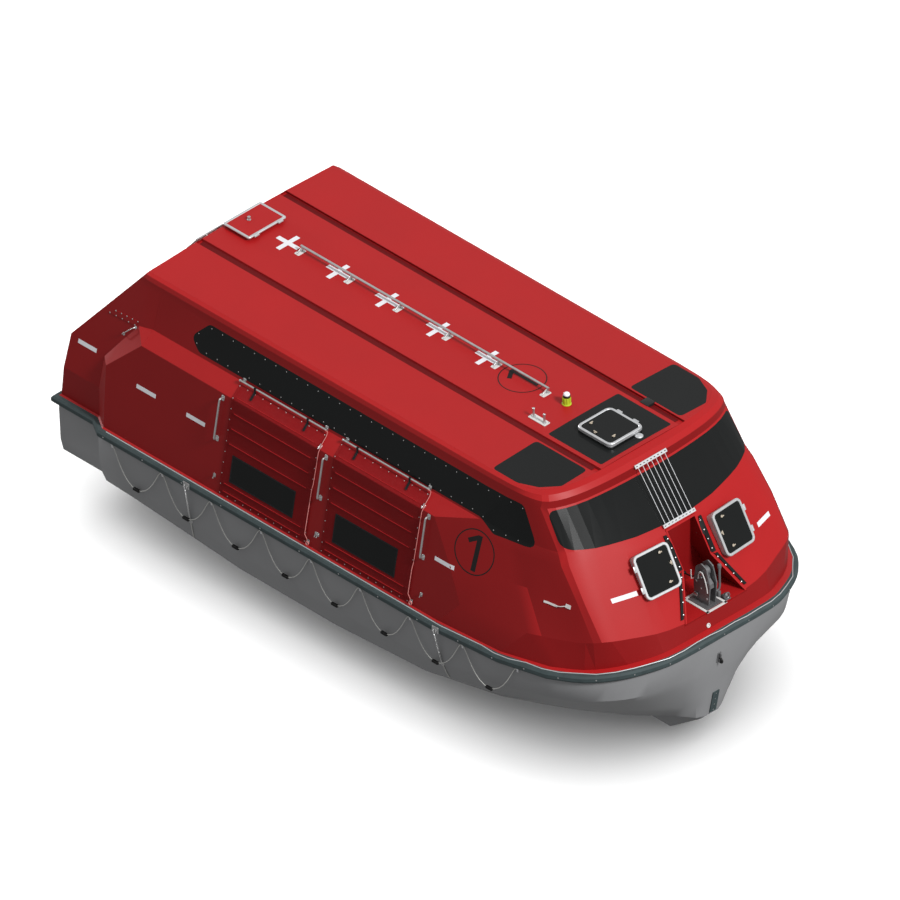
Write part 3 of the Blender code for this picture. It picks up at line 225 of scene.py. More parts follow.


# RED and CLOTH carry painted shade: their base colour is darker on steep faces.
RED = surface("gelcoat_red", (0.31, 0.0085, 0.0095), 0.42, mottle=0.03, grain=0.0004, grain_scale=60, specular=0.16,
              painted_steep_shade=0.62)
# Darker red used as painted shade for the roof grooves.
GROOVE_SHADE_RED = surface("groove_painted_shade", (0.10, 0.004, 0.005), 0.6, mottle=0.05, specular=0.1)
GREY = surface("gelcoat_grey", (0.205, 0.207, 0.212), 0.45, mottle=0.04, grain=0.0004, grain_scale=50, specular=0.2)
RUBBER = surface("fender_rubber", (0.035, 0.050, 0.052), 0.68, mottle=0.15, mottle_scale=8, grain=0.0008,
                 grain_scale=300, specular=0.25)
STRIP_RUBBER = surface("rubbing_strip", (0.006, 0.006, 0.006), 0.6, mottle=0.2, mottle_scale=15, grain=0.0005,
                       grain_scale=400, specular=0.15)
GLASS = surface("tinted_acrylic", (0.0065, 0.0072, 0.0072), 0.22, mottle=0.05, specular=0.14)
CLOTH = surface("cover_cloth", (0.205, 0.0060, 0.0075), 0.75, mottle=0.05, mottle_scale=3, weave=0.0005,
                specular=0.1, painted_steep_shade=0.62)
PIPING = surface("cover_piping", (0.40, 0.012, 0.014), 0.7, mottle=0.08, mottle_scale=30, specular=0.15, weave=0.0004)
WEBBING = surface("black_webbing", (0.010, 0.010, 0.011), 0.8, mottle=0.15, mottle_scale=40, weave=0.0006,
                  specular=0.15)
STEEL = surface("polished_steel", (0.50, 0.50, 0.50), 0.34, metallic=0.9, mottle=0.10, mottle_scale=20, grain=0.0002,
                grain_scale=400)
HOOK_STEEL = surface("hook_steel", (0.17, 0.17, 0.175), 0.42, metallic=0.6, mottle=0.12, mottle_scale=14,
                     grain=0.0003, grain_scale=200)
FRAME_METAL = surface("satin_aluminium", (0.50, 0.51, 0.52), 0.42, metallic=0.6, mottle=0.05, mottle_scale=15,
                      grain=0.0002, grain_scale=500)
BRONZE = surface("cast_bronze", (0.50, 0.33, 0.15), 0.38, metallic=1.0, mottle=0.2, mottle_scale=12, grain=0.0006,
                 grain_scale=120)
PAINT = surface("engine_enamel", (0.20, 0.24, 0.28), 0.45, mottle=0.05, grain=0.0003, grain_scale=80)
WHITE_PAINT = surface("white_paint", (0.52, 0.51, 0.50), 0.5, mottle=0.05, mottle_scale=12, grain=0.0003,
                      grain_scale=120, specular=0.3)
TAPE = surface("reflective_tape", (0.60, 0.60, 0.63), 0.45, mottle=0.04, mottle_scale=25, grain=0.0003,
               grain_scale=700, specular=0.3)
PRINT = surface("black_marking", (0.010, 0.009, 0.009), 0.5, mottle=0.1, mottle_scale=10, specular=0.15)
LATCH = surface("latch_plastic", (0.36, 0.31, 0.24), 0.45, mottle=0.08, mottle_scale=40)
BLACK_PLASTIC = surface("black_plastic", (0.010, 0.010, 0.010), 0.4, mottle=0.15, mottle_scale=25, grain=0.0002,
                        grain_scale=500, specular=0.3)
LAMP = surface("lamp_plastic", (0.36, 0.46, 0.02), 0.38, mottle=0.06, mottle_scale=20)
DOME = surface("lamp_dome", (0.72, 0.72, 0.76), 0.18, mottle=0.02, mottle_scale=20)
ROPE = surface("rope", (0.40, 0.40, 0.38), 0.85, mottle=0.14, mottle_scale=60, grain=0.001, grain_scale=250)
LINE = surface("operating_line", (0.50, 0.16, 0.15), 0.8, mottle=0.2, mottle_scale=120, grain=0.0006, grain_scale=500)

SLOT_LOOKS = {"canopy_red": RED, "hull_grey": GREY, "fender_rubber": RUBBER, "glazing": GLASS, "cover_cloth": CLOTH,
              "stainless_steel": STEEL, "aluminium_frame": FRAME_METAL, "bronze": BRONZE, "engine_paint": PAINT,
              "lamp_green": LAMP, "line_rope": ROPE}
FACETED = {"canopy_bow", "canopy_stern", "side_wall_starboard", "side_wall_port"}


def dress_cad_nodes():
    """The CAD nodes' finishes, welded and shaded smooth between their sharp edges."""
    for name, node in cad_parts.items():
        for slot in node.material_slots:
            slot.material = SLOT_LOOKS[slot.material.name.split(".")[0]]
            if "hook" in name and "well" not in name:
                slot.material = HOOK_STEEL
        mesh = node.data
        if "custom_normal" in mesh.attributes:
            mesh.attributes.remove(mesh.attributes["custom_normal"])
        mesh.shade_smooth()
        if "sharp_edge" in mesh.attributes:
            mesh.attributes.remove(mesh.attributes["sharp_edge"])
        weld = node.modifiers.new("weld", "WELD")
        weld.merge_threshold = 0.00002
        split = node.modifiers.new("edges", "EDGE_SPLIT")
        split.split_angle = radians(11 if name in FACETED else 32)
        normals = node.modifiers.new("normals", "WEIGHTED_NORMAL")
        normals.keep_sharp = True


dress_cad_nodes()


# Solids

def turned(solid, placing):
    bmesh.ops.transform(solid, matrix=placing, verts=solid.verts)
    return solid


def stacked(rings):
    """Closed solid through rings of points; a ring of one point is a tip."""
    solid = bmesh.new()
    loops = [[solid.verts.new(point) for point in ring] for ring in rings]
    for low, high in zip(loops, loops[1:]):
        count = max(len(low), len(high))
        for index in range(count):
            after = (index + 1) % count
            corners = [low[index % len(low)], low[after % len(low)], high[after % len(high)], high[index % len(high)]]
            corners = list(dict.fromkeys(corners))
            if len(corners) > 2:
                solid.faces.new(corners)
    for loop in (loops[0], loops[-1]):
        if len(loop) > 2:
            solid.faces.new(loop)
    return solid


def lathe(profile, segments=16):
    """Solid turned about Z from (radius, height) pairs."""
    rings = []
    for radius, height in profile:
        count = segments if radius > 1e-6 else 1
        rings.append([(radius * cos(2 * pi * k / segments), radius * sin(2 * pi * k / segments), height)
                      for k in range(count)])
    return stacked(rings)


def slab(width, depth, height, bevel=0.003, centre=(0, 0, 0)):
    solid = bmesh.new()
    bmesh.ops.create_cube(solid, size=1.0, matrix=Matrix.Translation(centre) @ Matrix.Diagonal((width, depth, height, 1)))
    bmesh.ops.bevel(solid, geom=solid.edges[:], offset=bevel, segments=2, profile=0.5, affect="EDGES")
    return solid


def rounded_box(width, depth, radius, steps=6):
    """Corner points of a rounded box about the origin."""
    points = []
    for corner, (x, y) in enumerate(((1, 1), (-1, 1), (-1, -1), (1, -1))):
        middle = (x * (width / 2 - radius), y * (depth / 2 - radius))
        for step in range(steps + 1):
            turn = (corner + step / steps) * pi / 2
            points.append((middle[0] + radius * cos(turn), middle[1] + radius * sin(turn)))
    return points


def plate(outline, low, high, edge=0.0015):
    """Flat plate between two heights with eased edges."""
    def ring(inset, height):
        middle = sum((Vector(point) for point in outline), Vector((0, 0))) / len(outline)
        rings = []
        for point in outline:
            away = Vector(point) - middle
            rings.append((*(middle + away * max(0.0, 1 - inset / away.length)), height))
        return rings
    return stacked([ring(edge, low), ring(0, low + edge), ring(0, high - edge), ring(edge, high)])


def rim(width, depth, radius, section):
    """Frame round a rounded box whose section is a loop of (inset, height) pairs."""
    solid = bmesh.new()
    loops = []
    for inset, height in section:
        outline = rounded_box(width - 2 * inset, depth - 2 * inset, max(0.004, radius - inset))
        loops.append([solid.verts.new((x, y, height)) for x, y in outline])
    count = len(loops[0])
    for low, high in zip(loops, loops[1:] + loops[:1]):
        for index in range(count):
            after = (index + 1) % count
            solid.faces.new((low[index], low[after], high[after], high[index]))
    return solid


def bar(points, radius, segments=8, closed=False):
    """Round bar along points, with its section carried round the bends."""
    points = [Vector(point) for point in points]
    rings, across = [], None
    for index, point in enumerate(points):
        before = points[index - 1] if index or closed else point
        after = points[(index + 1) % len(points)] if index < len(points) - 1 or closed else point
        along = (after - before).normalized()
        if across is None:
            across = along.orthogonal()
        across = (across - along * across.dot(along)).normalized()
        over = along.cross(across)
        rings.append([point + (across * cos(2 * pi * k / segments) + over * sin(2 * pi * k / segments)) * radius
                      for k in range(segments)])
    if not closed:
        return stacked(rings)
    solid = bmesh.new()
    loops = [[solid.verts.new(point) for point in ring] for ring in rings]
    for low, high in zip(loops, loops[1:] + loops[:1]):
        for k in range(segments):
            solid.faces.new((low[k], low[(k + 1) % segments], high[(k + 1) % segments], high[k]))
    return solid


def film(seats, low, high, around=False):
    """Thin closed sheet between two lifts over a grid of (point, normal) seats."""
    solid = bmesh.new()
    under = [[solid.verts.new(point + normal * low) for point, normal in row] for row in seats]
    over = [[solid.verts.new(point + normal * high) for point, normal in row] for row in seats]
    rows, columns = len(seats), len(seats[0])
    last = columns if around else columns - 1
    for row in range(rows - 1):
        for column in range(last):
            after = (column + 1) % columns
            for level, flip in ((under, True), (over, False)):
                face = [level[row][column], level[row][after], level[row + 1][after], level[row + 1][column]]
                solid.faces.new(face[::-1] if flip else face)
    for row in (0, rows - 1):
        for column in range(last):
            after = (column + 1) % columns
            solid.faces.new((under[row][column], under[row][after], over[row][after], over[row][column]))
    if not around:
        for column in (0, columns - 1):
            for row in range(rows - 1):
                solid.faces.new((under[row][column], under[row + 1][column], over[row + 1][column],
                                 over[row][column]))
    return solid


def framed(origin, along, out):
    """Placing whose Z points out and whose X runs as nearly along as it can."""
    out = Vector(out).normalized()
    along = Vector(along)
    along = (along - out * along.dot(out)).normalized()
    placing = Matrix((along, out.cross(along), out)).transposed().to_4x4()
    placing.translation = Vector(origin)
    return placing


class Piece:
    """Solids of one material gathered into a piece that rides on a body."""

    def __init__(self, name, material, slot=None, body="boat", smooth=35):
        self.name, self.material, self.slot, self.body, self.smooth = name, material, slot, body, smooth
        self.shape = bmesh.new()

    def add(self, solid, placing=None):
        if placing is not None:
            turned(solid, placing)
        bmesh.ops.recalc_face_normals(solid, faces=solid.faces)
        scratch = bpy.data.meshes.new("scratch")
        solid.to_mesh(scratch)
        solid.free()
        self.shape.from_mesh(scratch)
        bpy.data.meshes.remove(scratch)
        return self

    def done(self):
        mesh = bpy.data.meshes.new(self.name)
        self.shape.to_mesh(mesh)
        self.shape.free()
        mesh.materials.append(self.material)
        mesh.shade_smooth()
        mesh.set_sharp_from_angle(angle=radians(self.smooth))
        piece = bpy.data.objects.new(self.name, mesh)
        bpy.context.scene.collection.objects.link(piece)
        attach(piece, self.body)
        return piece


# Places on the boat's skin

def search_tree(*names):
    corners, faces = [], []
    for name in names:
        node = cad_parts[name]
        start = len(corners)
        corners += [node.matrix_world @ vertex.co for vertex in node.data.vertices]
        faces += [[start + index for index in face.vertices] for face in node.data.polygons]
    return BVHTree.FromPolygons(corners, faces)


bpy.context.view_layer.update()
COVER_NODES = [f"side_cover_{place}_{side}" for place in ("aft", "forward") for side in SIDES]
CANOPY = search_tree("side_wall_starboard", "side_wall_port", "canopy_bow", "canopy_stern")
WALLS = search_tree("side_wall_starboard", "side_wall_port", "canopy_bow", "canopy_stern", "side_window_starboard",
                    "side_window_port", *COVER_NODES)
WINDOWS = search_tree("side_window_starboard", "side_window_port")
COVERS = search_tree(*COVER_NODES)
ROOF = search_tree("roof_center", "roof_starboard", "roof_port", "roof_window_center", "canopy_bow", "canopy_stern")
HULL = search_tree("hull")
FENDER = search_tree("fender")


def seat(tree, near, towards, reach=0.6):
    """Point and normal where a line through near, going towards the boat, first meets the skin."""
    near, towards = Vector(near), Vector(towards).normalized()
    point, normal, _, _ = tree.ray_cast(near - towards * reach, towards)
    if point is None:
        point, normal, _, _ = tree.find_nearest(near)
    if normal.dot(towards) > 0:
        normal = -normal
    return point, normal


def side(station, height, sign, tree=WALLS):
    return seat(tree, at(station, sign * 2.0, height), (0, -sign, 0))


def roof(station, offset):
    return seat(ROOF, at(station, offset, 3.5), (0, 0, -1), 0.5)


def spaced(start, end, count):
    return [start + (end - start) * index / (count - 1) for index in range(count)]


def flat_map(tree, point, normal, along):
    """Places (a, b) in the plane that touches the skin at a point, dropped on to the skin."""
    placing = framed(point, along, normal)
    def place(a, b):
        return seat(tree, placing @ Vector((a, b, 0)), -placing.col[2].to_3d(), 0.2)
    return place


def stroke(place, start, end, width, lift=0.0012, columns=9):
    """Painted or taped strip between two places of a map."""
    start, end = Vector(start), Vector(end)
    across = (end - start).normalized().orthogonal() * width / 2
    rows = []
    for shift in (-1, 0, 1):
        rows.append([place(*(start.lerp(end, step) + across * shift)) for step in spaced(0, 1, columns)])
    return film(rows, 0.0001, lift)


def circle(place, radius, width, lift=0.0012, count=72):
    rows = []
    for reach in (radius - width / 2, radius + width / 2):
        rows.append([place(reach * cos(2 * pi * k / count), reach * sin(2 * pi * k / count)) for k in range(count)])
    return film(rows, 0.0001, lift, around=True)


def bolt(radius=0.007, height=0.005):
    return lathe([(0, 0), (radius, 0), (radius, 0.6 * height), (0.6 * radius, height), (0, height)], 10)


def bolted(piece, seats, radius=0.007, height=0.005):
    for point, normal in seats:
        piece.add(bolt(radius, height), framed(point - normal * 0.0005, (0.3, 0.2, 1) if abs(normal.z) < 0.9 else (1, 0, 0),
                                               normal))
    return piece


# Lifelines: (station, half breadth, height) of each fixing under the fender

LINE_DIAMETER = 0.010
LINE_SAG = 0.43
CATENARY = 1.7
ROUNDING = 0.058
LINE_FIXINGS = [(1.0560, 2.0853, 1.4453), (1.8540, 2.0868, 1.4453), (2.6380, 2.0883, 1.4453),
                (3.4320, 2.0898, 1.4453), (4.2260, 2.0913, 1.4453), (5.0100, 2.0928, 1.4453),
                (5.8040, 2.0943, 1.4453), (6.6170, 2.0687, 1.4510), (7.4010, 1.9772, 1.4663)]
LINE_SHARES = (0.0, 0.0175, 0.035, 0.06, 0.09, 0.13, 0.18, 0.25, 0.32, 0.41, 0.5, 0.59, 0.68, 0.75, 0.82, 0.87, 0.91,
               0.94, 0.965, 0.985)


def line_drop(share, span):
    """How far a loop hangs at a share of its span: a catenary with its tops rounded off."""
    half = span / 2
    away = min(share, 1 - share) * span
    near, far = (away ** 2 + ROUNDING ** 2) ** 0.5 - ROUNDING, (half ** 2 + ROUNDING ** 2) ** 0.5 - ROUNDING
    return LINE_SAG * (1 - (cosh(CATENARY * (1 - near / far)) - 1) / (cosh(CATENARY) - 1))


def line_point(start, end, share, sign):
    station, breadth, height = Vector(start).lerp(Vector(end), share)
    return at(station, sign * breadth, height - line_drop(share, end[0] - start[0]))


def line_float(name, middle):
    ribs = [(0.0055, -0.052), (0.013, -0.050), (0.020, -0.042)]
    for index in range(5):
        along = -0.032 + 0.016 * index
        ribs += [(0.0215, along - 0.005), (0.0215, along + 0.005), (0.0195, along + 0.008)]
    ribs += [(0.020, 0.042), (0.013, 0.050), (0.0055, 0.052)]
    return Piece(name, STRIP_RUBBER, "fender_rubber").add(lathe(ribs, 18), framed(middle, (0, 0, 1), (1, 0, 0))).done()


def lifeline(side_name, sign):
    points, floats = [], []
    for index, (start, end) in enumerate(zip(LINE_FIXINGS, LINE_FIXINGS[1:])):
        points += [line_point(start, end, share, sign) for share in LINE_SHARES]
        floats.append(line_float(f"float_{index + 1}_{side_name}", line_point(start, end, 0.5, sign)))
    station, breadth, height = LINE_FIXINGS[-1]
    points.append(at(station, sign * breadth, height))
    curve = bpy.data.curves.new(f"becketed_line_{side_name}", "CURVE")
    curve.dimensions = "3D"
    spline = curve.splines.new("POLY")
    spline.points.add(len(points) - 1)
    for index, point in enumerate(points):
        spline.points[index].co = (*point, 1)
    curve.bevel_depth = LINE_DIAMETER / 2
    curve.bevel_resolution = 3
    curve.use_fill_caps = True
    curve.materials.append(ROPE)
    line = bpy.data.objects.new(f"becketed_line_{side_name}", curve)
    bpy.context.scene.collection.objects.link(line)
    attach(line, "boat")
    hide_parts(f"lifeline_{side_name}")
    tabs = Piece(f"line_tabs_{side_name}", TAPE, "line_rope")
    pins = Piece(f"line_pins_{side_name}", STEEL, "stainless_steel")
    for station, breadth, height in LINE_FIXINGS:
        centre = at(station, sign * breadth, height)
        loop = [centre + Vector((0, 0.0085 * cos(turn), 0.0085 * sin(turn))) for turn in spaced(0, 1.75 * pi, 15)]
        tabs.add(bar(loop, 0.0032, 6))
        tabs.add(slab(0.024, 0.0035, 0.062, 0.001, centre + Vector((0, -sign * 0.013, -0.022))))
        pins.add(bolt(0.006, 0.004), framed(centre + Vector((0, -sign * 0.0110, -0.040)), (1, 0, 0), (0, sign, 0)))
    tabs.done()
    pins.done()


for side_name, sign in SIDES.items():
    lifeline(side_name, sign)


# Side covers: cloth over the boarding openings, with battens, windows, rods, straps and lines

COVER_SPANS = {"aft": (2.71, 4.10), "forward": (4.33, 5.74)}
COVER_LOW, COVER_TOP = 1.58, 2.92
BATTENS = (2.805, 2.615, 2.425, 2.235, 1.740, 1.640)
COVER_WINDOWS = {"aft": (2.865, 3.842, 1.800, 2.110), "forward": (4.504, 5.466, 1.790, 2.125)}
COVER_STRAPS = {"aft": (2.96, 3.80), "forward": (4.593, 5.425)}


def cloth_lift(station, height, span):
    """How far the cloth lies out from its solid's inner face: battens stand proud and it gives between them."""
    lift = 0.0045
    for batten in BATTENS:
        lift += 0.0045 * 2.718 ** (-((height - batten) / 0.011) ** 2)
    ends = min(1.0, min(station - span[0], span[1] - station) / 0.06)
    ripple = noise.noise(Vector((station * 2.2, height * 7.5, span[0])))
    fine = noise.noise(Vector((station * 9.0, height * 16.0, 4.0 + span[0])))
    return min(0.0105, max(0.003, lift + ends * (0.0022 * ripple + 0.0009 * fine)))


def cover(place, side_name, sign):
    node = f"side_cover_{place}_{side_name}"
    start, end = COVER_SPANS[place]
    name = f"{place}_{side_name}"
    stations = spaced(start + 0.003, end - 0.003, 46)
    heights = spaced(COVER_LOW + 0.003, COVER_TOP - 0.003, 110)
    rows = []
    for height in heights:
        row = []
        for station in stations:
            point, normal = side(station, height, sign, COVERS)
            row.append((point + normal * (cloth_lift(station, height, (start, end)) - 0.012), normal))
        rows.append(row)
    cloth = Piece(f"cloth_{name}", CLOTH, "cover_cloth", smooth=60).add(film(rows, -0.0024, 0.0)).done()
    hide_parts(node)

    def on_cloth(station, height, extra=0.0):
        point, normal = side(station, height, sign, COVERS)
        return point + normal * (cloth_lift(station, height, (start, end)) - 0.012 + extra), normal

    hem = Piece(f"hem_{name}", CLOTH, "cover_cloth", smooth=60)
    inside = 0.034
    for low, high in ((COVER_LOW + 0.004, COVER_LOW + inside), (COVER_TOP - inside, COVER_TOP - 0.004)):
        hem.add(film([[on_cloth(x, z) for x in spaced(start + 0.004, end - 0.004, 40)] for z in (low, high)],
                     0.0002, 0.0019))
    for low, high in ((start + 0.004, start + inside), (end - inside, end - 0.004)):
        hem.add(film([[on_cloth(x, z) for x in (low, high)]
                      for z in spaced(COVER_LOW + inside + 0.0005, COVER_TOP - inside - 0.0005, 60)], 0.0002, 0.0019))
    hem.done()

    piping = Piece(f"piping_{name}", PIPING, "cover_cloth")
    for height in BATTENS:
        line = [on_cloth(x, height, 0.0018)[0] for x in spaced(start + 0.07, end - 0.10, 40)]
        piping.add(bar(line, 0.0030, 6))
    piping.done()

    low_x, high_x, low_z, high_z = COVER_WINDOWS[place]
    pane = Piece(f"cover_window_{name}", GLASS, "glazing", smooth=60)
    pane.add(film([[on_cloth(x, z) for x in spaced(low_x, high_x, 30)] for z in spaced(low_z, high_z, 12)],
                  0.0006, 0.0036))
    pane.done()
    edging = Piece(f"cover_window_edging_{name}", WEBBING, smooth=60)
    for low, high in ((low_z - 0.014, low_z + 0.004), (high_z - 0.004, high_z + 0.014)):
        edging.add(film([[on_cloth(x, z) for x in spaced(low_x - 0.014, high_x + 0.014, 30)] for z in (low, high)],
                        0.0004, 0.0046))
    for low, high in ((low_x - 0.014, low_x + 0.004), (high_x - 0.004, high_x + 0.014)):
        edging.add(film([[on_cloth(x, z) for x in (low, high)] for z in spaced(low_z + 0.005, high_z - 0.005, 10)],
                        0.0004, 0.0046))
    edging.done()

    studs = Piece(f"cover_studs_{name}", STEEL, "stainless_steel")
    around = [(x, z) for z in (COVER_LOW + 0.018, COVER_TOP - 0.018) for x in spaced(start + 0.02, end - 0.02, 12)]
    around += [(x, z) for x in (start + 0.018, end - 0.018) for z in spaced(COVER_LOW + 0.13, COVER_TOP - 0.13, 9)]
    bolted(studs, [on_cloth(x, z, 0.0017) for x, z in around], 0.0065, 0.0035)
    studs.done()

    rod_start, rod_end = (2.72, 4.09) if place == "aft" else (4.36, 5.735)

    def beside(station, height, lift):
        point, normal = side(station, height, sign)
        return point + normal * lift

    rod = Piece(f"cover_rod_{name}", STEEL, "stainless_steel")
    middle = [beside(x, 2.952, 0.036) for x in spaced(rod_start, rod_end, 12)]
    rod.add(bar(middle, 0.012, 14))
    for station in (rod_start + 0.03, rod_end - 0.03):
        point, normal = side(station, 2.952, sign)
        placing = framed(point, (1, 0, 0), normal)
        rod.add(plate(rounded_box(0.05, 0.07, 0.015, 4), -0.0005, 0.005), placing)
        rod.add(slab(0.012, 0.026, 0.040, 0.003, (0, 0, 0.022)), placing)
        for across in (-0.025, 0.025):
            rod.add(bolt(0.006, 0.004), placing @ Matrix.Translation((0, across, 0.005)))
    for station in (rod_start, rod_end):
        rod.add(lathe([(0, -0.010), (0.016, -0.008), (0.016, 0.008), (0, 0.010)], 14),
                framed(beside(station, 2.952, 0.036), (0, 0, 1), (1, 0, 0)))
    rod.done()

    straps = Piece(f"cover_straps_{name}", WEBBING, smooth=60)
    for station in COVER_STRAPS[place]:
        centre = beside(station, 2.952, 0.036)
        lower, normal = side(station, 2.842, sign)
        path = [centre + normal * 0.0145]
        path += [side(station, height, sign)[0] + side(station, height, sign)[1] * 0.0045
                 for height in spaced(2.915, 2.842, 5)]
        rows = []
        for shift in (-0.016, 0.016):
            rows.append([(point + Vector((shift, 0, 0)), normal) for point in path])
        straps.add(film(rows, -0.0012, 0.0012))
        placing = framed(centre, (0, 0, 1), (1, 0, 0))
        straps.add(lathe([(0.0125, -0.016), (0.0150, -0.016), (0.0150, 0.016), (0.0125, 0.016), (0.0125, -0.0155)], 18),
                   placing)
    straps.done()

    line = Piece(f"operating_line_{name}", LINE)
    front = rod_end + 0.018
    sill = 1.615
    route = [beside(front - 0.03, 2.952, 0.052), beside(front, 2.947, 0.048), beside(front + 0.006, 2.925, 0.034)]
    route += [beside(front + 0.004 - 0.02 * (2.9 - height), height, 0.012) for height in spaced(2.89, 1.70, 16)]
    route += [beside(front + 0.02, sill + 0.03, 0.018), beside(front + 0.012, sill, 0.020)]
    line.add(bar(route, 0.0042, 8))
    line.add(bar([beside(front + 0.035 + 0.02 * cos(t), sill - 0.012 + 0.02 * sin(t), 0.022 + 0.0006 * t)
                  for t in spaced(0, 4 * pi, 30)], 0.0042, 6))
    line.done()
    cleats = Piece(f"cleats_{name}", STEEL, "stainless_steel")
    for station, height in ((front + 0.03, sill), (front + 0.16, 1.762), (front - 0.005, 2.79), (start - 0.09, 1.761)):
        if side_name and 2.45 < station < 6.4:
            point, normal = side(station, height, sign)
            placing = framed(point, (1, 0, 0), normal)
            cleats.add(plate(rounded_box(0.034, 0.050, 0.012, 4), -0.0006, 0.004), placing)
            cleats.add(lathe([(0, 0.003), (0.009, 0.003), (0.007, 0.014), (0.007, 0.020), (0, 0.022)], 12), placing)
            cleats.add(bar([(-0.004, -0.034, 0.026), (0, -0.015, 0.020), (0, 0.015, 0.020), (0.004, 0.034, 0.026)],
                           0.0055, 8), placing)
    cleats.done()


for side_name, sign in SIDES.items():
    for place in COVER_SPANS:
        cover(place, side_name, sign)


# Side windows' bolts, handles' bolts, tapes, ring and numeral on each side

def tape(name, low, high, height, width, sign, tree=WALLS):
    piece = Piece(name, TAPE, smooth=60)
    rows = [[side(x, z, sign, tree) for x in spaced(low, high, 10)] for z in (height - width / 2, height + width / 2)]
    return piece.add(film(rows, 0.0001, 0.0012)).done()


def window_bolts(side_name, sign):
    seats = []
    for station in spaced(1.62, 7.05, 33):
        hits = []
        for height in spaced(3.50, 2.30, 121):
            point, normal, _, _ = WINDOWS.ray_cast(at(station, sign * 2.4, height), Vector((0, -sign, 0)))
            if point is not None and point.y * sign > 0.8:
                hits.append(height)
        if len(hits) > 16:
            for height in (max(hits) - 0.032, min(hits) + 0.032):
                seats.append(side(station, height, sign, WINDOWS))
    bolted(Piece(f"window_bolts_{side_name}", STEEL, "stainless_steel"), seats, 0.0068, 0.0035).done()


def numeral(piece, place, scale=1.0, turn=0.0):
    """Figure one drawn as a stem with its flag and no foot."""
    def turned_place(a, b):
        return place(a * cos(turn) - b * sin(turn), a * sin(turn) + b * cos(turn))
    piece.add(stroke(turned_place, (0.032 * scale, -0.225 * scale), (0.032 * scale, 0.215 * scale), 0.062 * scale))
    piece.add(stroke(turned_place, (0.010 * scale, 0.185 * scale), (-0.110 * scale, 0.105 * scale), 0.055 * scale,
                     0.0011, 5))


for side_name, sign in SIDES.items():
    for index, (low, high, height) in enumerate(((1.284, 1.589, 2.28), (2.077, 2.372, 2.28), (6.033, 6.333, 2.28),
                                                 (0.252, 0.543, 2.335))):
        tape(f"side_tape_{index + 1}_{side_name}", low, high, height, 0.05, sign)
    window_bolts(side_name, sign)
    middle, out = side(6.543, 2.553, sign)
    marking = Piece(f"boat_number_{side_name}", PRINT, smooth=60)
    side_place = flat_map(WALLS, middle, out, (1, 0, 0) if sign < 0 else (-1, 0, 0))
    marking.add(circle(side_place, 0.268, 0.013))
    numeral(marking, side_place)
    marking.done()

    plates = Piece(f"handle_bolts_{side_name}", STEEL, "stainless_steel")
    for station in (2.58, 4.225, 5.86):
        for height in (2.21, 2.72):
            point, normal = side(station, height, sign)
            placing = framed(point, (1, 0, 0), normal)
            plates.add(plate(rounded_box(0.050, 0.070, 0.018, 4), -0.0004, 0.003), placing)
            for away in (-0.025, 0.025):
                plates.add(bolt(0.0055, 0.004), placing @ Matrix.Translation((0, away, 0.003)))
    plates.done()

    fittings = Piece(f"bow_quarter_fittings_{side_name}", WHITE_PAINT, "stainless_steel")
    for start, end, width in (((7.535, 2.315), (7.706, 2.310), 0.022), ((7.808, 2.352), (7.872, 2.350), 0.045)):
        seats = [[side(x, z + shift, sign) for x, z in
                  [(start[0] + (end[0] - start[0]) * share, start[1] + (end[1] - start[1]) * share)
                   for share in spaced(0, 1, 6)]] for shift in (-width / 2, width / 2)]
        fittings.add(film(seats, -0.0005, 0.009))
    fittings.add(bar([side(7.700, 2.312, sign)[0] + side(7.700, 2.312, sign)[1] * 0.010,
                      side(7.760, 2.330, sign)[0] + side(7.760, 2.330, sign)[1] * 0.022,
                      side(7.815, 2.350, sign)[0] + side(7.815, 2.350, sign)[1] * 0.012], 0.006, 8))
    fittings.done()


# Stern quarter: bolted panel, grab bar and its feet

QUARTER_PANEL = [(0.604, 1.675, 2.835), (0.712, 1.661, 2.909), (1.091, 1.674, 2.946), (1.048, 1.692, 2.881)]


def quarter_panel(side_name, sign):
    inward = Vector((0.25, -sign, -0.55))
    corners = [at(x, sign * y, z) for x, y, z in QUARTER_PANEL]
    rows = []
    for up in spaced(0, 1, 6):
        low, high = corners[0].lerp(corners[1], up), corners[3].lerp(corners[2], up)
        rows.append([seat(CANOPY, low.lerp(high, share), inward, 0.4) for share in spaced(0, 1, 14)])
    Piece(f"quarter_panel_{side_name}", RED, "canopy_red", smooth=50).add(film(rows, 0.0002, 0.006)).done()
    bolts = Piece(f"quarter_panel_bolts_{side_name}", STEEL, "stainless_steel")
    border = [(0.09, share) for share in spaced(0.03, 0.97, 5)] + [(0.91, share) for share in spaced(0.03, 0.97, 5)]
    seats = []
    for up, share in border:
        low, high = corners[0].lerp(corners[1], up), corners[3].lerp(corners[2], up)
        point, normal = seat(CANOPY, low.lerp(high, share), inward, 0.4)
        seats.append((point + normal * 0.006, normal))
    bolted(bolts, seats, 0.008, 0.005).done()
    grab = Piece(f"quarter_grab_{side_name}", STEEL, "stainless_steel")
    low, low_out = seat(CANOPY, at(0.894, sign * 1.727, 2.708), inward, 0.4)
    high, high_out = seat(CANOPY, at(1.054, sign * 1.697, 2.860), inward, 0.4)
    path = [low, low + low_out * 0.022, low.lerp(high, 0.04) + low_out * 0.034, low.lerp(high, 0.10) + low_out * 0.038,
            low.lerp(high, 0.90) + high_out * 0.038, low.lerp(high, 0.96) + high_out * 0.034, high + high_out * 0.022,
            high]
    grab.add(bar(path, 0.0065, 10))
    for point, normal in ((low, low_out), (high, high_out)):
        grab.add(lathe([(0, -0.0005), (0.020, -0.0005), (0.020, 0.003), (0.012, 0.006), (0, 0.006)], 14),
                 framed(point, (1, 0, 0), normal))
    grab.done()


for side_name, sign in SIDES.items():
    quarter_panel(side_name, sign)


# Roof markings and fittings

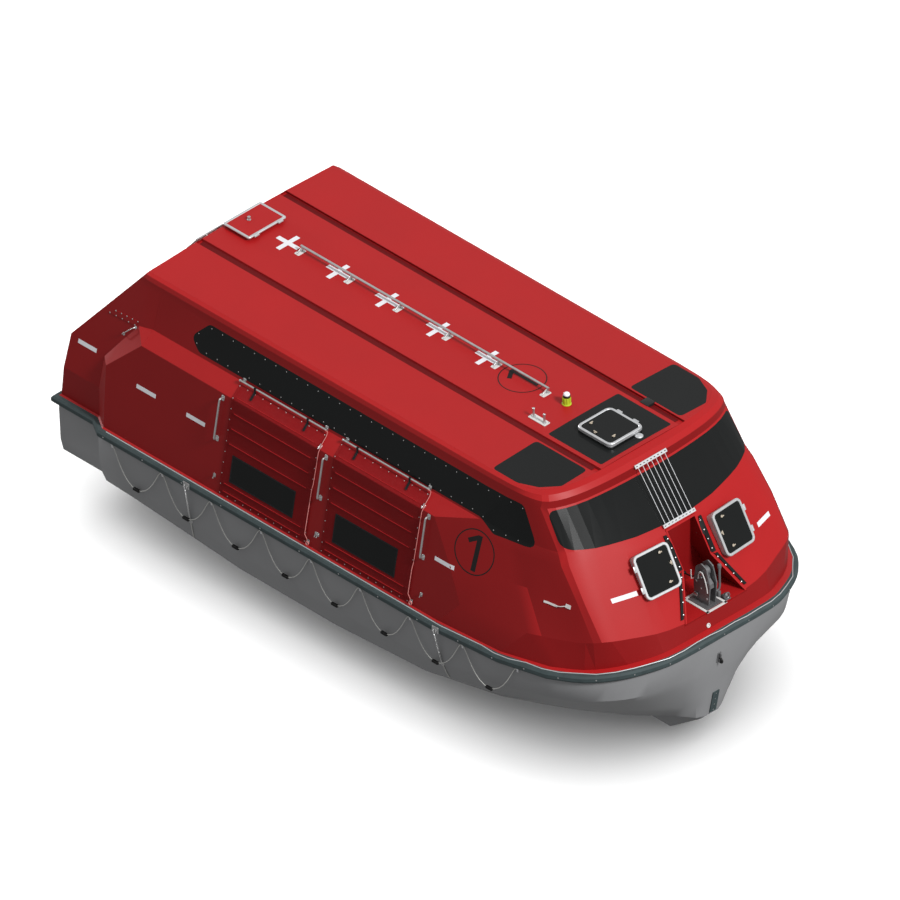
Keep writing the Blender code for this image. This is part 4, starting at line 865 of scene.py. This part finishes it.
def cross(piece, station):
    for start, end in (((-0.165, 0), (0.165, 0)), ((0, 0.031), (0, 0.165)), ((0, -0.165), (0, -0.031))):
        piece.add(stroke(lambda a, b: roof(station + a, b), start, end, 0.062))


crosses = Piece("roof_crosses", TAPE, smooth=60)
for station in (1.782, 2.578, 3.359, 4.171, 4.951):
    cross(crosses, station)
crosses.done()
roof_number = Piece("roof_number", PRINT, smooth=60)
roof_number.add(circle(lambda a, b: roof(5.515 + a, b), 0.275, 0.013))
numeral(roof_number, lambda a, b: roof(5.515 + a, b), 0.98, pi / 2)
roof_number.done()

rail_feet = Piece("rail_feet", WHITE_PAINT, "stainless_steel")
rail_bolts = Piece("rail_bolts", STEEL, "stainless_steel")
for station in spaced(2.012, 5.917, 6):
    point, normal = roof(station, -0.035)
    placing = framed(point, (1, 0, 0), normal)
    rail_feet.add(plate(rounded_box(0.075, 0.130, 0.014, 4), -0.0004, 0.005), placing)
    for across in (-0.050, 0.050):
        rail_bolts.add(bolt(0.008, 0.006), placing @ Matrix.Translation((0, across, 0.005)))
    rail_bolts.add(bar([(0, -0.045, 0.006), (0, -0.030, 0.020), (0, 0.020, 0.055)], 0.006, 8), placing)
rail_feet.done()
rail_bolts.done()

peg_plate = Piece("peg_bracket", WHITE_PAINT, "stainless_steel")
pegs = Piece("pegs", STEEL, "stainless_steel")
point, normal = roof(6.22, -0.44)
placing = framed(point, (1, 0, 0), normal)
peg_plate.add(plate(rounded_box(0.27, 0.095, 0.012, 4), -0.0004, 0.007), placing)
for along in (-0.085, 0.085):
    pegs.add(lathe([(0, 0.006), (0.024, 0.006), (0.024, 0.012), (0.013, 0.016), (0.013, 0.105), (0.017, 0.110),
                    (0.017, 0.124), (0.010, 0.130), (0, 0.130)], 16), placing @ Matrix.Translation((along, 0, 0)))
for along, across in ((-0.12, -0.033), (0.12, -0.033), (-0.12, 0.033), (0.12, 0.033), (0, 0)):
    pegs.add(bolt(0.0065, 0.005), placing @ Matrix.Translation((along, across, 0.007)))
peg_plate.done()
pegs.done()

light_seat = at(6.22, 0, 3.5424)
light_base = Piece("light_base", LAMP, "lamp_green")
profile = [(0, 0), (0.056, 0), (0.056, 0.010), (0.048, 0.014)]
light_base.add(lathe(profile + [(0.043, 0.095), (0, 0.095)], 24), Matrix.Translation(light_seat))
for index in range(10):
    turn = 2 * pi * index / 10
    spot = light_seat + Vector((0.0465 * cos(turn), 0.0465 * sin(turn), 0.050))
    light_base.add(slab(0.012, 0.008, 0.084, 0.0025), framed(spot, (-sin(turn), cos(turn), 0), (0, 0, 1)))
light_base = light_base.done()
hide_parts("position_light")
Piece("light_band", BLACK_PLASTIC).add(lathe([(0, 0.093), (0.041, 0.093), (0.044, 0.098), (0.044, 0.120), (0.040, 0.125),
                                              (0, 0.125)], 24), Matrix.Translation(light_seat)).done()
Piece("light_dome", DOME).add(lathe([(0, 0.124), (0.038, 0.124), (0.037, 0.135), (0.031, 0.147), (0.020, 0.154),
                                     (0, 0.157)], 24), Matrix.Translation(light_seat)).done()

vent = Piece("roof_vent", FRAME_METAL, "aluminium_frame")
point, normal = roof(7.24, 0.132)
vent.add(lathe([(0, -0.001), (0.050, -0.001), (0.050, 0.006), (0.040, 0.014), (0.036, 0.012), (0.020, 0.020),
                (0, 0.022)], 24), framed(point, (1, 0, 0), normal))
vent.done()
clamp = Piece("groove_clamp", BLACK_PLASTIC)
clamp.add(slab(0.13, 0.13, 0.05, 0.010, roof(6.83, 0.80)[0] + Vector((0, -0.065, 0.018))))
clamp.done()

for side_name, sign in SIDES.items():
    # Painted shade: a dark red sheet laid along each roof groove stands in for the shade in the recess.
    shade_sheet = Piece(f"groove_liner_{side_name}", GROOVE_SHADE_RED, "canopy_red")
    seats = []
    for offset in (0.622, 0.708):
        row = []
        for station in spaced(1.06, 7.30, 60):
            point, normal, _, _ = ROOF.ray_cast(at(station, sign * offset, 3.8), Vector((0, 0, -1)))
            row.append((point, Vector((0, 0, 1))))
        seats.append(row)
    shade_sheet.add(film(seats, 0.0002, 0.0015))
    shade_sheet.done()


# Hatches

HATCH_SECTION = [(0.0, 0.004), (0.004, 0.0), (0.030, 0.0), (0.034, 0.004), (0.034, 0.014), (0.028, 0.020), (0.006, 0.020),
                 (0.0, 0.014)]


def latch(piece, placing):
    """Small twist handle on its round base."""
    piece.add(lathe([(0, 0), (0.016, 0), (0.016, 0.005), (0.010, 0.008), (0, 0.008)], 14), placing.copy())
    piece.add(slab(0.014, 0.052, 0.010, 0.003, (0, 0, 0.012)), placing)


def hatch(name, body, placing, width, depth, radius, top, latches, hinges, hinge_line, pane):
    """Silver frame, acrylic pane and latches on a lid, and hinge halves beside it. Width runs along the placing's X."""
    frame_piece = Piece(f"{name}_frame", FRAME_METAL, "aluminium_frame", body)
    frame_piece.add(rim(width + 0.006, depth + 0.006, radius, HATCH_SECTION), placing @ Matrix.Translation((0, 0, top - 0.012)))
    for index in range(16):
        a, b = rounded_box(width - 0.030, depth - 0.030, radius - 0.015, 3)[index]
        frame_piece.add(bolt(0.0045, 0.0025), placing @ Matrix.Translation((a, b, top + 0.0078)))
    for a, b in hinges:
        across = (0.075, 0.040) if hinge_line == "y" else (0.040, 0.075)
        frame_piece.add(slab(*across, 0.016, 0.004), placing @ Matrix.Translation((a, b, top - 0.002)))
        ends = ((-0.034, 0, 0), (0.034, 0, 0)) if hinge_line == "y" else ((0, -0.034, 0), (0, 0.034, 0))
        frame_piece.add(bar([Vector(ends[0]), Vector(ends[1])], 0.009, 12), placing @ Matrix.Translation((a, b, top + 0.004)))
    frame_piece.done()
    Piece(f"{name}_pane", pane, "glazing" if pane is GLASS else "canopy_red", body).add(
        plate(rounded_box(width - 0.058, depth - 0.058, radius - 0.026), top - 0.001, top + 0.003), placing.copy()).done()
    if latches:
        handles = Piece(f"{name}_latches", LATCH, None, body)
        for a, b, turn in latches:
            latch(handles, placing @ Matrix.Translation((a, b, top + 0.003)) @ Matrix.Rotation(radians(turn), 4, "Z"))
        handles.done()


def bow_hatch_placing(sign):
    along = Vector((-0.501087, -sign * 0.014214, 0.86528))
    out = Vector((0.858285, sign * 0.119761, 0.499003))
    return framed((3.825, sign * 0.60, 1.835), along, out)


for side_name, sign in SIDES.items():
    placing = bow_hatch_placing(sign)
    outboard = 1 if placing.col[1].to_3d().y * sign > 0 else -1
    hatch(f"bow_hatch_{side_name}", f"bow_lid_{side_name}", placing, 0.54, 0.50, 0.07, 0.054,
          [(0.185, -outboard * 0.11, 0), (0.02, -outboard * 0.20, 90), (-0.175, -outboard * 0.11, 0)],
          [(-0.13, outboard * 0.262), (0.13, outboard * 0.262)], "y", GLASS)
hatch("roof_hatch", "roof_lid", framed((2.53, -0.02, 2.842), (1, 0, 0), (0, 0, 1)), 0.55, 0.54, 0.08, 0.054,
      [(-0.19, -0.11, 0), (-0.03, -0.205, 90), (0.17, -0.11, 0)], [(-0.13, 0.278), (0.13, 0.278)], "y", GLASS)
hatch("aft_hatch", "aft_lid", framed((-3.15, 0, 2.842), (1, 0, 0), (0, 0, 1)), 0.42, 0.60, 0.03, 0.046,
      [], [(0.216, -0.19), (0.216, 0.19)], "x", RED)
knob = Piece("aft_hatch_knob", STEEL, "stainless_steel", "aft_lid")
knob.add(lathe([(0, 0.048), (0.024, 0.048), (0.024, 0.053), (0.010, 0.058), (0.010, 0.072), (0.020, 0.080), (0.020, 0.090),
                (0, 0.094)], 18), Matrix.Translation((-3.20, -0.04, 2.842)))
knob.done()


# Bow: tapes, tow ring, well strips and the hook's base plate

BOW_IN = Vector((-1.0, 0, -0.25))


def bow(near, tree=WALLS):
    return seat(tree, near, BOW_IN, 0.9)


for side_name, start, end, height in (("starboard", (8.147, -1.215), (8.240, -0.895), 2.387),
                                      ("port", (8.220, 1.039), (8.152, 1.298), 2.349)):
    rows = [[bow(at(start[0] + (end[0] - start[0]) * share, start[1] + (end[1] - start[1]) * share, height + rise))
             for share in spaced(0, 1, 10)] for rise in (-0.028, 0.028)]
    Piece(f"bow_tape_{side_name}", TAPE, smooth=60).add(film(rows, 0.0001, 0.0012)).done()

tow_ring = Piece("tow_ring", WHITE_PAINT, "stainless_steel")
point, normal = seat(CANOPY, at(8.648, -0.174, 1.786), (-1, 0, 0.0), 0.9)
placing = framed(point, (0, 1, 0), normal)
tow_ring.add(bar([(0.022 * cos(t), 0.022 * sin(t), 0.006) for t in spaced(0, 2 * pi, 25)[:-1]], 0.007, 8, closed=True),
             placing)
tow_ring.add(lathe([(0, -0.001), (0.013, -0.001), (0.013, 0.006), (0, 0.009)], 12), placing)
tow_ring.done()


def well_edge(height):
    return 0.465 - (height - 1.925) / 0.475 * 0.25 if height < 2.40 else 0.215


for side_name, sign in SIDES.items():
    strips = Piece(f"well_strips_{side_name}", STRIP_RUBBER, "fender_rubber")
    strip_bolts = Piece(f"well_strip_bolts_{side_name}", STEEL, "stainless_steel")
    for low, high in ((2.405, 2.775), (1.975, 2.385)):
        rows = []
        for away in (0.004, 0.043, 0.082):
            rows.append([seat(CANOPY, at(8.3, sign * (well_edge(height) + away), height), (-1, 0, 0), 0.9)
                         for height in spaced(low, high, 12)])
        strips.add(film(rows, 0.0003, 0.016))
        seats = [seat(CANOPY, at(8.3, sign * (well_edge(height) + 0.043), height), (-1, 0, 0), 0.9)
                 for height in spaced(low + 0.04, high - 0.04, 4)]
        bolted(strip_bolts, [(point + normal * 0.016, normal) for point, normal in seats], 0.009, 0.004)
    strips.done()
    strip_bolts.done()

hook_plate = Piece("hook_base_plate", WHITE_PAINT, "stainless_steel")
hook_plate.add(slab(0.40, 0.034, 0.008, 0.002, at(8.425, -0.140, 1.9295)))
hook_plate.add(slab(0.40, 0.034, 0.008, 0.002, at(8.425, 0.140, 1.9295)))
hook_plate.add(slab(0.034, 0.314, 0.008, 0.002, at(8.608, 0, 1.9295)))
hook_plate.add(slab(0.034, 0.314, 0.008, 0.002, at(8.242, 0, 1.9295)))
hook_plate.done()


# Hooks: bosses, rods and cable on each release hook, and the fitting beside it

def hook_dressing(name, place):
    """Details of a release hook. place maps the bow's (station, offset, height) to the hook's own end."""
    out = (place(9.0, 0, 0) - place(8.0, 0, 0)).normalized()
    bosses = Piece(f"{name}_bosses", STEEL, "stainless_steel")
    for sign in SIDES.values():
        for station, height, radius in ((8.325, 2.03, 0.014), (8.520, 2.03, 0.014), (8.345, 2.20, 0.016),
                                        (8.500, 2.24, 0.020), (8.425, 2.13, 0.012), (8.430, 2.28, 0.012)):
            bosses.add(lathe([(0, -0.001), (radius, -0.001), (radius, 0.007), (0.7 * radius, 0.011), (0, 0.011)], 6),
                       framed(place(station, sign * 0.060, height), (0, 0, 1), (0, sign, 0)))
        for station, height in ((8.425, 2.345), (8.355, 2.025)):
            bosses.add(lathe([(0, -0.002), (0.027, -0.002), (0.027, 0.005), (0.021, 0.009), (0, 0.009)], 18),
                       framed(place(station, sign * 0.0745, height), (0, 0, 1), (0, sign, 0)))
    bosses.done()
    rods = Piece(f"{name}_rods", WHITE_PAINT, "stainless_steel")
    rods.add(bar([place(*point) for point in ((8.385, -0.072, 2.255), (8.400, -0.080, 2.320), (8.430, -0.086, 2.372),
                                              (8.465, -0.086, 2.372), (8.500, -0.082, 2.300), (8.530, -0.080, 2.200),
                                              (8.535, -0.072, 2.120))], 0.0065, 8))
    rods.add(bar([place(*point) for point in ((8.300, -0.062, 2.210), (8.300, -0.096, 2.225), (8.298, -0.100, 2.320),
                                              (8.300, -0.100, 2.345))], 0.006, 8))
    rods.done()
    lever = Piece(f"{name}_lever", HOOK_STEEL, "stainless_steel")
    lever.add(bar([place(*point) for point in ((8.540, 0.062, 2.090), (8.552, 0.096, 2.110), (8.556, 0.100, 2.160),
                                               (8.552, 0.100, 2.400))], 0.015, 12))
    lever.add(lathe([(0, -0.030), (0.022, -0.024), (0.026, 0), (0.022, 0.024), (0, 0.030)], 16),
              framed(place(8.552, 0.100, 2.418), (0, 1, 0), (0, 0, 1)))
    lever.add(slab(0.060, 0.040, 0.075, 0.006, place(8.545, 0.085, 2.050)))
    lever.done()
    cable = Piece(f"{name}_cable", BLACK_PLASTIC)
    cable.add(bar([place(*point) for point in ((8.300, 0.070, 2.160), (8.262, 0.092, 2.175), (8.215, 0.105, 2.150),
                                               (8.160, 0.112, 2.085), (8.100, 0.115, 2.045), (8.030, 0.115, 2.035),
                                               (7.976, 0.115, 2.035))], 0.009, 10))
    cable.add(lathe([(0, -0.002), (0.024, -0.002), (0.024, 0.006), (0.015, 0.020), (0, 0.020)], 14),
              framed(place(7.9755, 0.115, 2.035), (0, 0, 1), out))
    cable.done()
    fitting = Piece(f"{name}_fitting", HOOK_STEEL, "stainless_steel")
    base = place(8.535, 0.205, 1.9255)
    fitting.add(plate(rounded_box(0.12, 0.09, 0.012, 4), -0.0003, 0.007), framed(base, (1, 0, 0), (0, 0, 1)))
    fitting.add(slab(0.030, 0.060, 0.050, 0.005, base + Vector((0, 0, 0.030))))
    fitting.add(bar([base + out * 0.034 + Vector((0, 0.036 * cos(t), 0.042 + 0.036 * sin(t)))
                     for t in spaced(0, 2 * pi, 25)[:-1]], 0.010, 8, closed=True))
    fitting.add(lathe([(0, 0.0), (0.020, 0.0), (0.020, 0.020), (0.012, 0.026), (0, 0.026)], 14),
                framed(base + out * 0.014 + Vector((0, 0, 0.042)), (0, 1, 0), out))
    fitting.done()


hook_dressing("bow_hook_parts", at)
hook_dressing("stern_hook_parts", lambda station, offset, height: at(8.845 - station, offset, height + 0.045))
bump = Piece("well_bump", RED, "canopy_red")
bump.add(lathe([(0, -0.001), (0.055, -0.001), (0.050, 0.020), (0.034, 0.036), (0.014, 0.043), (0, 0.044)], 20),
         framed(at(7.975, -0.115, 2.190), (0, 0, 1), (1, 0, 0)))
bump.done()

slots = Piece("guard_slots", BLACK_PLASTIC)
guard_top, guard_low = at(7.540, 0, 3.440), at(7.996, 0, 2.848)
guard_out = Vector((guard_top.z - guard_low.z, 0, guard_low.x - guard_top.x)).normalized()
for end in (guard_top, guard_low):
    for across in spaced(-0.222, 0.222, 9):
        slots.add(slab(0.026, 0.011, 0.0135, 0.002, (across, 0, 0)), framed(end + guard_out * 0.022, (0, 1, 0), guard_out))
slots.done()


# Hull: bow eye, stem guard, fender strip and bolts, chains and keel lines

eye = Piece("bow_eye", HOOK_STEEL, "stainless_steel")
disc = Piece("bow_eye_disc", BLACK_PLASTIC)
point, normal = seat(HULL, at(8.701, -0.061, 1.32), (-1, 0.15, 0), 0.9)
placing = framed(point, (0, 0, 1), normal)
eye.add(plate(rounded_box(0.15, 0.055, 0.012, 4), -0.001, 0.007), placing)
eye.add(slab(0.060, 0.014, 0.036, 0.004, (0.035, 0, 0.022)), placing)
eye.add(slab(0.050, 0.014, 0.030, 0.004, (-0.040, 0, 0.018)), placing)
for along in (-0.060, 0.062):
    eye.add(bolt(0.008, 0.006), placing @ Matrix.Translation((along, 0, 0.007)))
eye.done()
disc.add(lathe([(0, -0.010), (0.036, -0.008), (0.040, 0), (0.036, 0.008), (0, 0.010)], 20),
         placing @ Matrix.Translation((-0.030, -0.004, 0.034)) @ Matrix.Rotation(radians(90), 4, "X"))
disc.done()
stem = Piece("stem_guard", RUBBER, "fender_rubber", smooth=60)
rows = [[seat(HULL, at(8.60, across, height), (-1, 0, 0), 0.9) for height in spaced(0.47, 0.77, 12)]
        for across in (-0.050, -0.025, 0.0, 0.025, 0.050)]
stem.add(film(rows, 0.0002, 0.012))
stem.done()
stem_bolts = Piece("stem_guard_bolts", STEEL, "stainless_steel")
bolted(stem_bolts, [(point + normal * 0.012, normal) for point, normal in rows[2][1::3]], 0.007, 0.004)
stem_bolts.done()


def round_boat(bow_step=6, gap=0.30):
    """Places just outside the fender with the way in towards the boat, starboard quarter to port quarter."""
    places = [(at(station, -2.6, 0), Vector((0, 1, 0))) for station in spaced(0.95, 6.9, int(5.95 / gap) + 1)]
    for angle in range(-86, 87, bow_step):
        away = Vector((cos(radians(angle)), sin(radians(angle)), 0))
        places.append((at(6.95, 0, 0) + away * 3.2, -away))
    places += [(at(station, 2.6, 0), Vector((0, -1, 0))) for station in spaced(6.9, 0.95, int(5.95 / gap) + 1)]
    return places


def fender_marks(places):
    """(top point, face point, face normal) of the fender at each place."""
    marks = []
    for start, towards in places:
        hits = []
        for height in spaced(1.30, 1.86, 113):
            point, normal, _, _ = FENDER.ray_cast(Vector((start.x, start.y, height - DRAUGHT)), towards)
            if point is not None and (point - start).to_2d().length < 2.4:
                hits.append((point, -towards if normal.dot(towards) > 0 else normal))
        if hits:
            top = hits[-1][0]
            marks.append((top, *hits[len(hits) // 2]))
    return marks


marks = fender_marks(round_boat())
strip = Piece("fender_strip", FRAME_METAL, "aluminium_frame", smooth=60)
strip.add(bar([top + Vector((0, 0, 0.001)) for top, _, _ in marks], 0.0065, 8))
strip.done()
fender_bolts = Piece("fender_bolts", STEEL, "stainless_steel")
bolted(fender_bolts, [(point, normal) for _, point, normal in marks[::2]], 0.009, 0.004)
fender_bolts.done()


def chain(piece, start, end, wire=0.0042, long=0.034, wide=0.020):
    """Links between two points, each turned a quarter from the last."""
    span = end - start
    count = max(2, int(span.length / (long - 2.4 * wire)))
    for index in range(count):
        centre = start + span * ((index + 0.5) / count)
        placing = framed(centre, span, Vector((0, 1, 0.2)) if index % 2 else Vector((1, 0.3, 0)))
        ring = [Vector(((long - wide) / 2 * (1 if cos(t) > 0 else -1) + wide / 2 * cos(t), wide / 2 * sin(t), 0))
                for t in spaced(0, 2 * pi, 17)[:-1]]
        piece.add(bar(ring, wire, 6, closed=True), placing)


def keel_line(name, station, sign):
    """Bracket on the fender with a chain, and a line from it round the bilge to an eye near the keel."""
    bracket = Piece(f"{name}_bracket", STEEL, "stainless_steel")
    point, normal = seat(FENDER, at(station, sign * 2.1, 1.505), (0, -sign, 0))
    placing = framed(point, (1, 0, 0), normal)
    bracket.add(plate(rounded_box(0.10, 0.085, 0.010, 4), -0.0008, 0.006), placing)
    for along, across in ((-0.036, -0.028), (0.036, -0.028), (-0.036, 0.028), (0.036, 0.028)):
        bracket.add(bolt(0.007, 0.005), placing @ Matrix.Translation((along, across, 0.006)))
    shackle = [point + normal * 0.004 + Vector((x, sign * y, z)) for x, y, z in
               ((-0.020, 0.0, 0.0), (-0.020, 0.012, -0.012), (-0.014, 0.014, -0.042), (0.0, 0.014, -0.054),
                (0.014, 0.014, -0.042), (0.020, 0.012, -0.012), (0.020, 0.0, 0.0))]
    bracket.add(bar(shackle, 0.005, 8))
    bracket.done()

    def hull_at(angle):
        centre = at(station, 0, 1.25)
        away = Vector((0, sign * cos(radians(angle)), sin(radians(angle))))
        return seat(HULL, centre + away * 1.9, -away, 1.2)

    low_point, low_out = hull_at(-8)
    links = Piece(f"{name}_chain", STEEL, "stainless_steel")
    links.add(lathe([(0, -0.0005), (0.022, -0.0005), (0.022, 0.003), (0.012, 0.012), (0, 0.012)], 14),
              framed(low_point, (1, 0, 0), low_out))
    start = shackle[3] + Vector((0, 0, -0.008))
    chain(links, start, low_point + low_out * 0.016)
    links.done()
    path = [low_point + low_out * 0.010]
    for angle in spaced(-10, -78, 30):
        point, normal = hull_at(angle)
        if abs(point.y) > 0.24:
            path.append(point + normal * 0.0075)
    rope = Piece(f"{name}_rope", ROPE, "line_rope")
    rope.add(bar(path, 0.006, 8))
    rope.done()
    foot = Piece(f"{name}_eye", STEEL, "stainless_steel")
    point, normal = seat(HULL, path[-1], (path[-2] - path[-1]).cross(Vector((1, 0, 0))) * 0 + Vector((0, 0, 1)), 0.3)
    placing = framed(point, (1, 0, 0), normal)
    foot.add(plate(rounded_box(0.07, 0.05, 0.012, 4), -0.0006, 0.006), placing)
    foot.add(bar([(-0.016, 0, 0.004), (-0.014, 0, 0.018), (0, 0, 0.024), (0.014, 0, 0.018), (0.016, 0, 0.004)], 0.005, 8),
             placing)
    foot.done()


for side_name, sign in SIDES.items():
    for index, station in enumerate((2.28, 6.25)):
        keel_line(f"keel_line_{('aft', 'forward')[index]}_{side_name}", station, sign)


# Stern: tapes and a skin fitting

for index, (low, high) in enumerate(((-1.30, -1.02), (1.02, 1.30))):
    rows = [[seat(CANOPY, at(0.3, y, 2.30 + rise), (1, 0, 0), 0.9) for y in spaced(low, high, 8)]
            for rise in (-0.028, 0.028)]
    Piece(f"stern_tape_{index + 1}", TAPE, smooth=60).add(film(rows, 0.0001, 0.0012)).done()
outlet = Piece("exhaust_outlet", STEEL, "stainless_steel")
point, normal = seat(HULL, at(0.3, 1.20, 1.15), (1, 0, 0), 0.9)
outlet.add(lathe([(0, -0.002), (0.075, -0.002), (0.075, 0.006), (0.056, 0.010), (0.052, 0.040), (0.044, 0.040),
                  (0.044, 0.008), (0, 0.008)], 28), framed(point, (0, 1, 0), normal))
for turn in spaced(0, 2 * pi, 7)[:-1]:
    outlet.add(bolt(0.006, 0.005), framed(point, (0, 1, 0), normal) @ Matrix.Translation((0.066 * cos(turn),
                                                                                       0.066 * sin(turn), 0.006)))
outlet.done()
